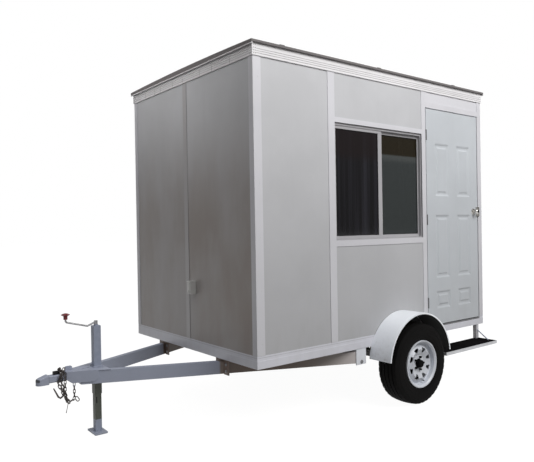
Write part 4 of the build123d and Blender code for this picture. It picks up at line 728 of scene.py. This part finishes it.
# Bolts through the cleats and the crossbeam's end plates
def chassis_bolts(shape):
    beam_x, beam_end, beam_height, cleat_face = 0.2625, 1.006, 0.42, -0.8425
    for side in BOTH_SIDES:
        hex_bolt(shape, (beam_x, side * beam_end, beam_height), (0, side, 0), 0.011)
        for across in (0.440, 0.558):
            for height in (0.492, 0.438):
                hex_bolt(shape, (cleat_face, side * across, height), (-1, 0, 0), 0.009)


fitting("chassis_bolts", "trailer", plated, chassis_bolts)


# Weld beads round the jack's flange, the neck and the ends of the coupler's skirts
def weld_beads(shape):
    jack_x, plate_top, neck = -1.6975, 0.5245, -1.9475
    half = 0.0305
    square = [(-half, -half), (half, -half), (half, half), (-half, half), (-half, -half)]
    weld(shape, [(jack_x + x, y, plate_top) for x, y in square], 0.0035)
    across, low, high = 0.029, 0.455, 0.508
    collar = [(-across, low), (across, low), (across, high), (-across, high), (-across, low)]
    weld(shape, [(neck, y, z) for y, z in collar], 0.004)
    skirt_end, skirt_y = -1.7335, 0.1262
    for side in BOTH_SIDES:
        weld(shape, [(skirt_end, side * skirt_y, height) for height in (0.466, 0.511)], 0.0035)


fitting("weld_beads", "trailer", chassis_paint, weld_beads)


# The rest of the safety chain: it is wound round the neck and hangs below it, with its hook and a pin
LINK_PITCH = 0.029
LINK_BEND = 0.0086
LINK_WIRE = 0.0036


def strand(shape, points, facing=(0, 1, 0)):
    """Links one after another along points, every second one turned on edge."""
    points = [Vector(point) for point in points]
    spans = [(end - start).length for start, end in zip(points, points[1:])]
    count = max(1, round(sum(spans) / LINK_PITCH))
    joints = [points[0]]
    for number in range(1, count):
        left = sum(spans) * number / count
        leg = 0
        while left > spans[leg]:
            left -= spans[leg]
            leg += 1
        joints.append(points[leg].lerp(points[leg + 1], left / spans[leg]))
    joints.append(points[-1])
    for number, (first, last) in enumerate(zip(joints, joints[1:])):
        along = (last - first).normalized()
        inset = along * (LINK_BEND - LINK_WIRE)
        normal = Vector(facing) if number % 2 else along.cross(Vector(facing)).normalized()
        link(shape, first + inset, last - inset, normal, LINK_BEND, LINK_WIRE)


def chain_end(shape):
    strand(shape, [
        (-2.018, -0.041, 0.458), (-2.004, -0.047, 0.424), (-1.99, -0.051, 0.388),
        (-1.972, -0.056, 0.35), (-1.95, -0.062, 0.305),
    ])
    strand(shape, [
        (-1.9915, -0.044, 0.459), (-1.981, -0.054, 0.416), (-1.972, -0.064, 0.372),
        (-1.955, -0.07, 0.326), (-1.941, -0.07, 0.29),
    ])
    over_neck = [(-0.036, 0.452), (-0.0395, 0.49), (-0.034, 0.526), (-0.018, 0.545), (0.0, 0.549)]
    over_neck += [(-y, z) for y, z in reversed(over_neck[:-1])]
    strand(shape, [(-1.986, y, z) for y, z in over_neck], (1, 0, 0))
    strand(shape, [
        (-2.006, -0.042, 0.454), (-1.998, -0.046, 0.484), (-1.988, -0.053, 0.514),
        (-1.976, -0.044, 0.54), (-1.962, -0.03, 0.55),
    ])
    hook = [
        (-1.982, 0.402, 0.006), (-1.977, 0.373, 0.006), (-1.983, 0.348, 0.007), (-2.001, 0.336, 0.0075),
        (-2.017, 0.348, 0.007), (-2.035, 0.385, 0.006), (-2.051, 0.4175, 0.0045),
    ]
    tube(shape, [(x, -0.056, z) for x, z, _ in hook], [radius for _, _, radius in hook], 10)
    link(shape, (-1.984, -0.056, 0.408), (-1.988, -0.056, 0.424), (0, 1, 0), LINK_BEND, LINK_WIRE)
    link(shape, (-1.884, -0.066, 0.318), (-1.873, -0.066, 0.301), (0, 1, 0), 0.0105, LINK_WIRE)
    pin = [
        (-1.944, -0.055, 0.298), (-1.948, -0.055, 0.268),
        (-1.955, -0.054, 0.236), (-1.96, -0.053, 0.215),
    ]
    tube(shape, pin, [0.0022, 0.0024, 0.0024, 0.0034], 8)


fitting("chain_end", "trailer", chain_steel, chain_end)


# Glazing strips round both panes, and the dark keepers in the corners of the window frame
def glazing(shape):
    low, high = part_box("window_glass")
    middle = (low[1] + high[1]) / 2
    strip = 0.006
    spots = [vertex.co for vertex in nodes["window_glass"].data.vertices]
    for pane_spots in ([s for s in spots if s.y < middle], [s for s in spots if s.y >= middle]):
        left, right = min(s.x for s in pane_spots), max(s.x for s in pane_spots)
        bottom, top = min(s.z for s in pane_spots), max(s.z for s in pane_spots)
        face = min(s.y for s in pane_spots)
        for start, end in (
            ((left, bottom), (right, bottom + strip)),
            ((left, top - strip), (right, top)),
            ((left, bottom + strip), (left + strip, top - strip)),
            ((right - strip, bottom + strip), (right, top - strip)),
        ):
            slab(shape, (start[0], face - 0.0035, start[1]), (end[0], face - 0.0002, end[1]), 0.0012)


fitting("glazing_strips", "trailer", glazing_rubber, glazing)


def frame_keepers(shape):
    low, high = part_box("window_frame")
    outer, inner = low[1] - 0.004, low[1] + 0.001
    for x in (low[0] + 0.012, high[0] - 0.012):
        for z in (low[2] + 0.014, high[2] - 0.014):
            slab(shape, (x - 0.007, outer, z - 0.01), (x + 0.007, inner, z + 0.01), 0.002)
            rivet(shape, (x, outer, z), (0, -1, 0), 0.003)


fitting("frame_keepers", "trailer", latch_black, frame_keepers)


# Screws in the corner caps of the fascia
def cap_screws(shape):
    proud, head = 0.0075, 0.003
    for end, across in CABIN_ENDS:
        for side in BOTH_SIDES:
            for inset in (0.008, 0.024):
                for height in (2.885, 2.906, 2.927, 2.948):
                    on_side = (end - across * inset, side * (CABIN_SIDE + proud), height)
                    on_end = (end + across * proud, side * (CABIN_SIDE - inset), height)
                    rivet(shape, on_side, (0, side, 0), head)
                    rivet(shape, on_end, (across, 0, 0), head)


fitting("cap_screws", "trailer", hinge_steel, cap_screws)


# Rivets up the corner trims
def corner_rivets(shape):
    count, lowest, spacing, head = 6, 0.72, 0.4, 0.0042
    from_end, from_side = 0.05, 0.04
    for end, across in CABIN_ENDS:
        for side in BOTH_SIDES:
            for number in range(count):
                height = lowest + number * spacing
                on_side = (end - across * from_end, side * CABIN_SIDE, height)
                on_end = (end, side * (CABIN_SIDE - from_side), height)
                rivet(shape, on_side, (0, side, 0), head)
                rivet(shape, on_end, (across, 0, 0), head)


fitting("corner_rivets", "trailer", trim_white, corner_rivets)


# Lock cylinder in the outer door knob
def lock_face(shape):
    x, y, z = 1.9895, -1.0672, 1.7206
    face = [(0.0135, -0.003), (0.0135, 0.001), (0.0115, 0.0026), (0.0095, 0.0014), (0.002, 0.0012)]
    lathe(shape, face, (x, y, z), (0, -1, 0), 24)
    slab(shape, (x - 0.0012, y - 0.0036, z - 0.006), (x + 0.0012, y - 0.001, z + 0.006), 0.0004)


fitting("lock_cylinder", "door", latch_black, lock_face)


# Raised ribs on the step's tread
def tread_ribs(shape):
    low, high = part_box("step_tread")
    count, margin, half = 9, 0.018, 0.0045
    left, right = low[0] + 0.008, high[0] - 0.008
    bottom, top = high[2] - 0.0005, high[2] + 0.003
    for number in range(count):
        y = low[1] + margin + (high[1] - low[1] - 2 * margin) * number / (count - 1)
        slab(shape, (left, y - half, bottom), (right, y + half, top), 0.0012)


fitting("tread_ribs", "trailer", step_grip, tread_ribs)


# Flap, hinge and catch of the power inlet
def inlet_flap(shape):
    low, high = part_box("power_inlet")
    back = low[0] + 0.004
    front = back - 0.006
    bottom, top = low[2] + 0.014, high[2] - 0.024
    slab(shape, (front, low[1] + 0.01, bottom), (back + 0.001, high[1] - 0.01, top), 0.003)
    hinge = [(back - 0.004, y, high[2] - 0.019) for y in (low[1] + 0.012, high[1] - 0.012)]
    tube(shape, hinge, 0.0045, 10)
    catch = (front, (low[1] + high[1]) / 2, low[2] + 0.026)
    lathe(shape, [(0.006, 0.0), (0.006, 0.004), (0.004, 0.0055)], catch, (-1, 0, 0), 14)


fitting("inlet_flap", "trailer", inlet_plastic, inlet_flap)


# Floor, sky and light
FLOOR_HALF = 60.0
FLOOR_GLOW = 1.12
FLOOR_GLOW_SHARE = 0.86
SKY_STRENGTH = 0.52
SKY_STOPS = ((0.0, (0.30, 0.28, 0.26, 1.0)), (0.85, (0.95, 0.97, 1.0, 1.0)))


def white_ground():
    """A floor that looks white, keeps a soft shadow and throws little light back up."""
    look = Finish("pale_floor", Roughness=0.9)
    camera_ray, glossy_ray, glass_ray = [
        look.node("ShaderNodeLightPath", {}, {}, kind)
        for kind in ("Is Camera Ray", "Is Glossy Ray", "Is Transmission Ray")
    ]
    direct = camera_ray + glossy_ray + glass_ray
    glow = look.node("ShaderNodeEmission", {}, {"Color": WHITE, "Strength": FLOOR_GLOW})
    look.feed(Base_Color=look.blend(direct, screen(112, 110, 107), screen(235, 235, 234)))
    ground = Wire(look, look.shader.outputs[0])
    both = look.node("ShaderNodeMixShader", {}, {0: direct * FLOOR_GLOW_SHARE, 1: ground, 2: glow})
    look.join(both, "Material Output", "Surface")
    return look.material


floor_mesh = bpy.data.meshes.new("floor")
corners = [(FLOOR_HALF * x, FLOOR_HALF * y, 0) for x, y in ((-1, -1), (1, -1), (1, 1), (-1, 1))]
floor_mesh.from_pydata(corners, [], [(0, 1, 2, 3)])
floor_mesh.materials.append(white_ground())
add(floor_mesh, "floor")

world = bpy.data.worlds.new("sky")
bpy.context.scene.world = world
sky = Tree(world)
sky.tree.nodes.remove(sky.tree.nodes["Background"])
upward = sky.node("ShaderNodeTexCoord", {}, {}, "Generated")
upward = sky.node("ShaderNodeSeparateXYZ", {}, {0: upward}, "Z")
shades = sky.node("ShaderNodeValToRGB", {"stops": SKY_STOPS}, {0: upward})
light = sky.node("ShaderNodeBackground", {}, {"Color": shades, "Strength": SKY_STRENGTH})
white = sky.node("ShaderNodeBackground", {}, {"Color": WHITE})
seen = sky.node("ShaderNodeLightPath", {}, {}, "Is Camera Ray")
sky.join(sky.node("ShaderNodeMixShader", {}, {0: seen, 1: light, 2: white}), "World Output", "Surface")


def soft_lamp(name, place, target, size, watts, colour, spread=180.0):
    """A round lamp that points from its place at a target."""
    lamp = bpy.data.lights.new(name, "AREA")
    lamp.spread = math.radians(spread)
    lamp.shape = "DISK"
    lamp.size = size
    lamp.energy = watts
    lamp.color = colour
    made = bpy.data.objects.new(name, lamp)
    made.location = place
    made.rotation_mode = "QUATERNION"
    made.rotation_quaternion = (Vector(target) - Vector(place)).to_track_quat("-Z", "Y")
    bpy.context.scene.collection.objects.link(made)


soft_lamp("door_side_light", (1.2, -6.2, 6.4), (0.6, -0.8, 1.8), 5.0, 450.0, (1.0, 0.99, 0.97))
soft_lamp("front_light", (-2.6, 0.7, 4.7), (-0.9, 0.5, 2.3), 1.6, 20.0, (1.0, 0.98, 0.95))
soft_lamp("far_side_light", (3.6, 5.6, 5.0), (0.8, 0.8, 1.5), 4.0, 130.0, (1.0, 0.99, 0.97))
soft_lamp("fascia_light", (-3.6, 1.3, 3.8), (-0.87, 0.3, 3.25), 0.8, 1.5, (1.0, 0.98, 0.96), 45.0)

# The camera stands where the photograph was taken from
CAMERA_PLACE = (-3.3920, -4.4023, 1.5923)
CAMERA_HEADING = math.radians(37.889)
CAMERA_TILT = math.radians(-0.363)
CAMERA_ROLL = math.radians(0.973)
CAMERA_LENS = 38.534
ahead = Vector((
    math.sin(CAMERA_HEADING) * math.cos(CAMERA_TILT),
    math.cos(CAMERA_HEADING) * math.cos(CAMERA_TILT),
    math.sin(CAMERA_TILT),
))
level = ahead.cross(Vector((0, 0, 1))).normalized()
down = ahead.cross(level)
right = level * math.cos(CAMERA_ROLL) + down * math.sin(CAMERA_ROLL)
over = level * math.sin(CAMERA_ROLL) - down * math.cos(CAMERA_ROLL)
camera = bpy.data.cameras.new("photo_view")
camera.sensor_width = 36.0
camera.lens = CAMERA_LENS
camera.clip_end = 300.0
viewer = bpy.data.objects.new("photo_view", camera)
axes = Matrix((right, over, -ahead)).transposed()
viewer.matrix_world = Matrix.Translation(CAMERA_PLACE) @ axes.to_4x4()
bpy.context.scene.collection.objects.link(viewer)
bpy.context.scene.camera = viewer
bpy.context.scene.view_settings.view_transform = "Standard"
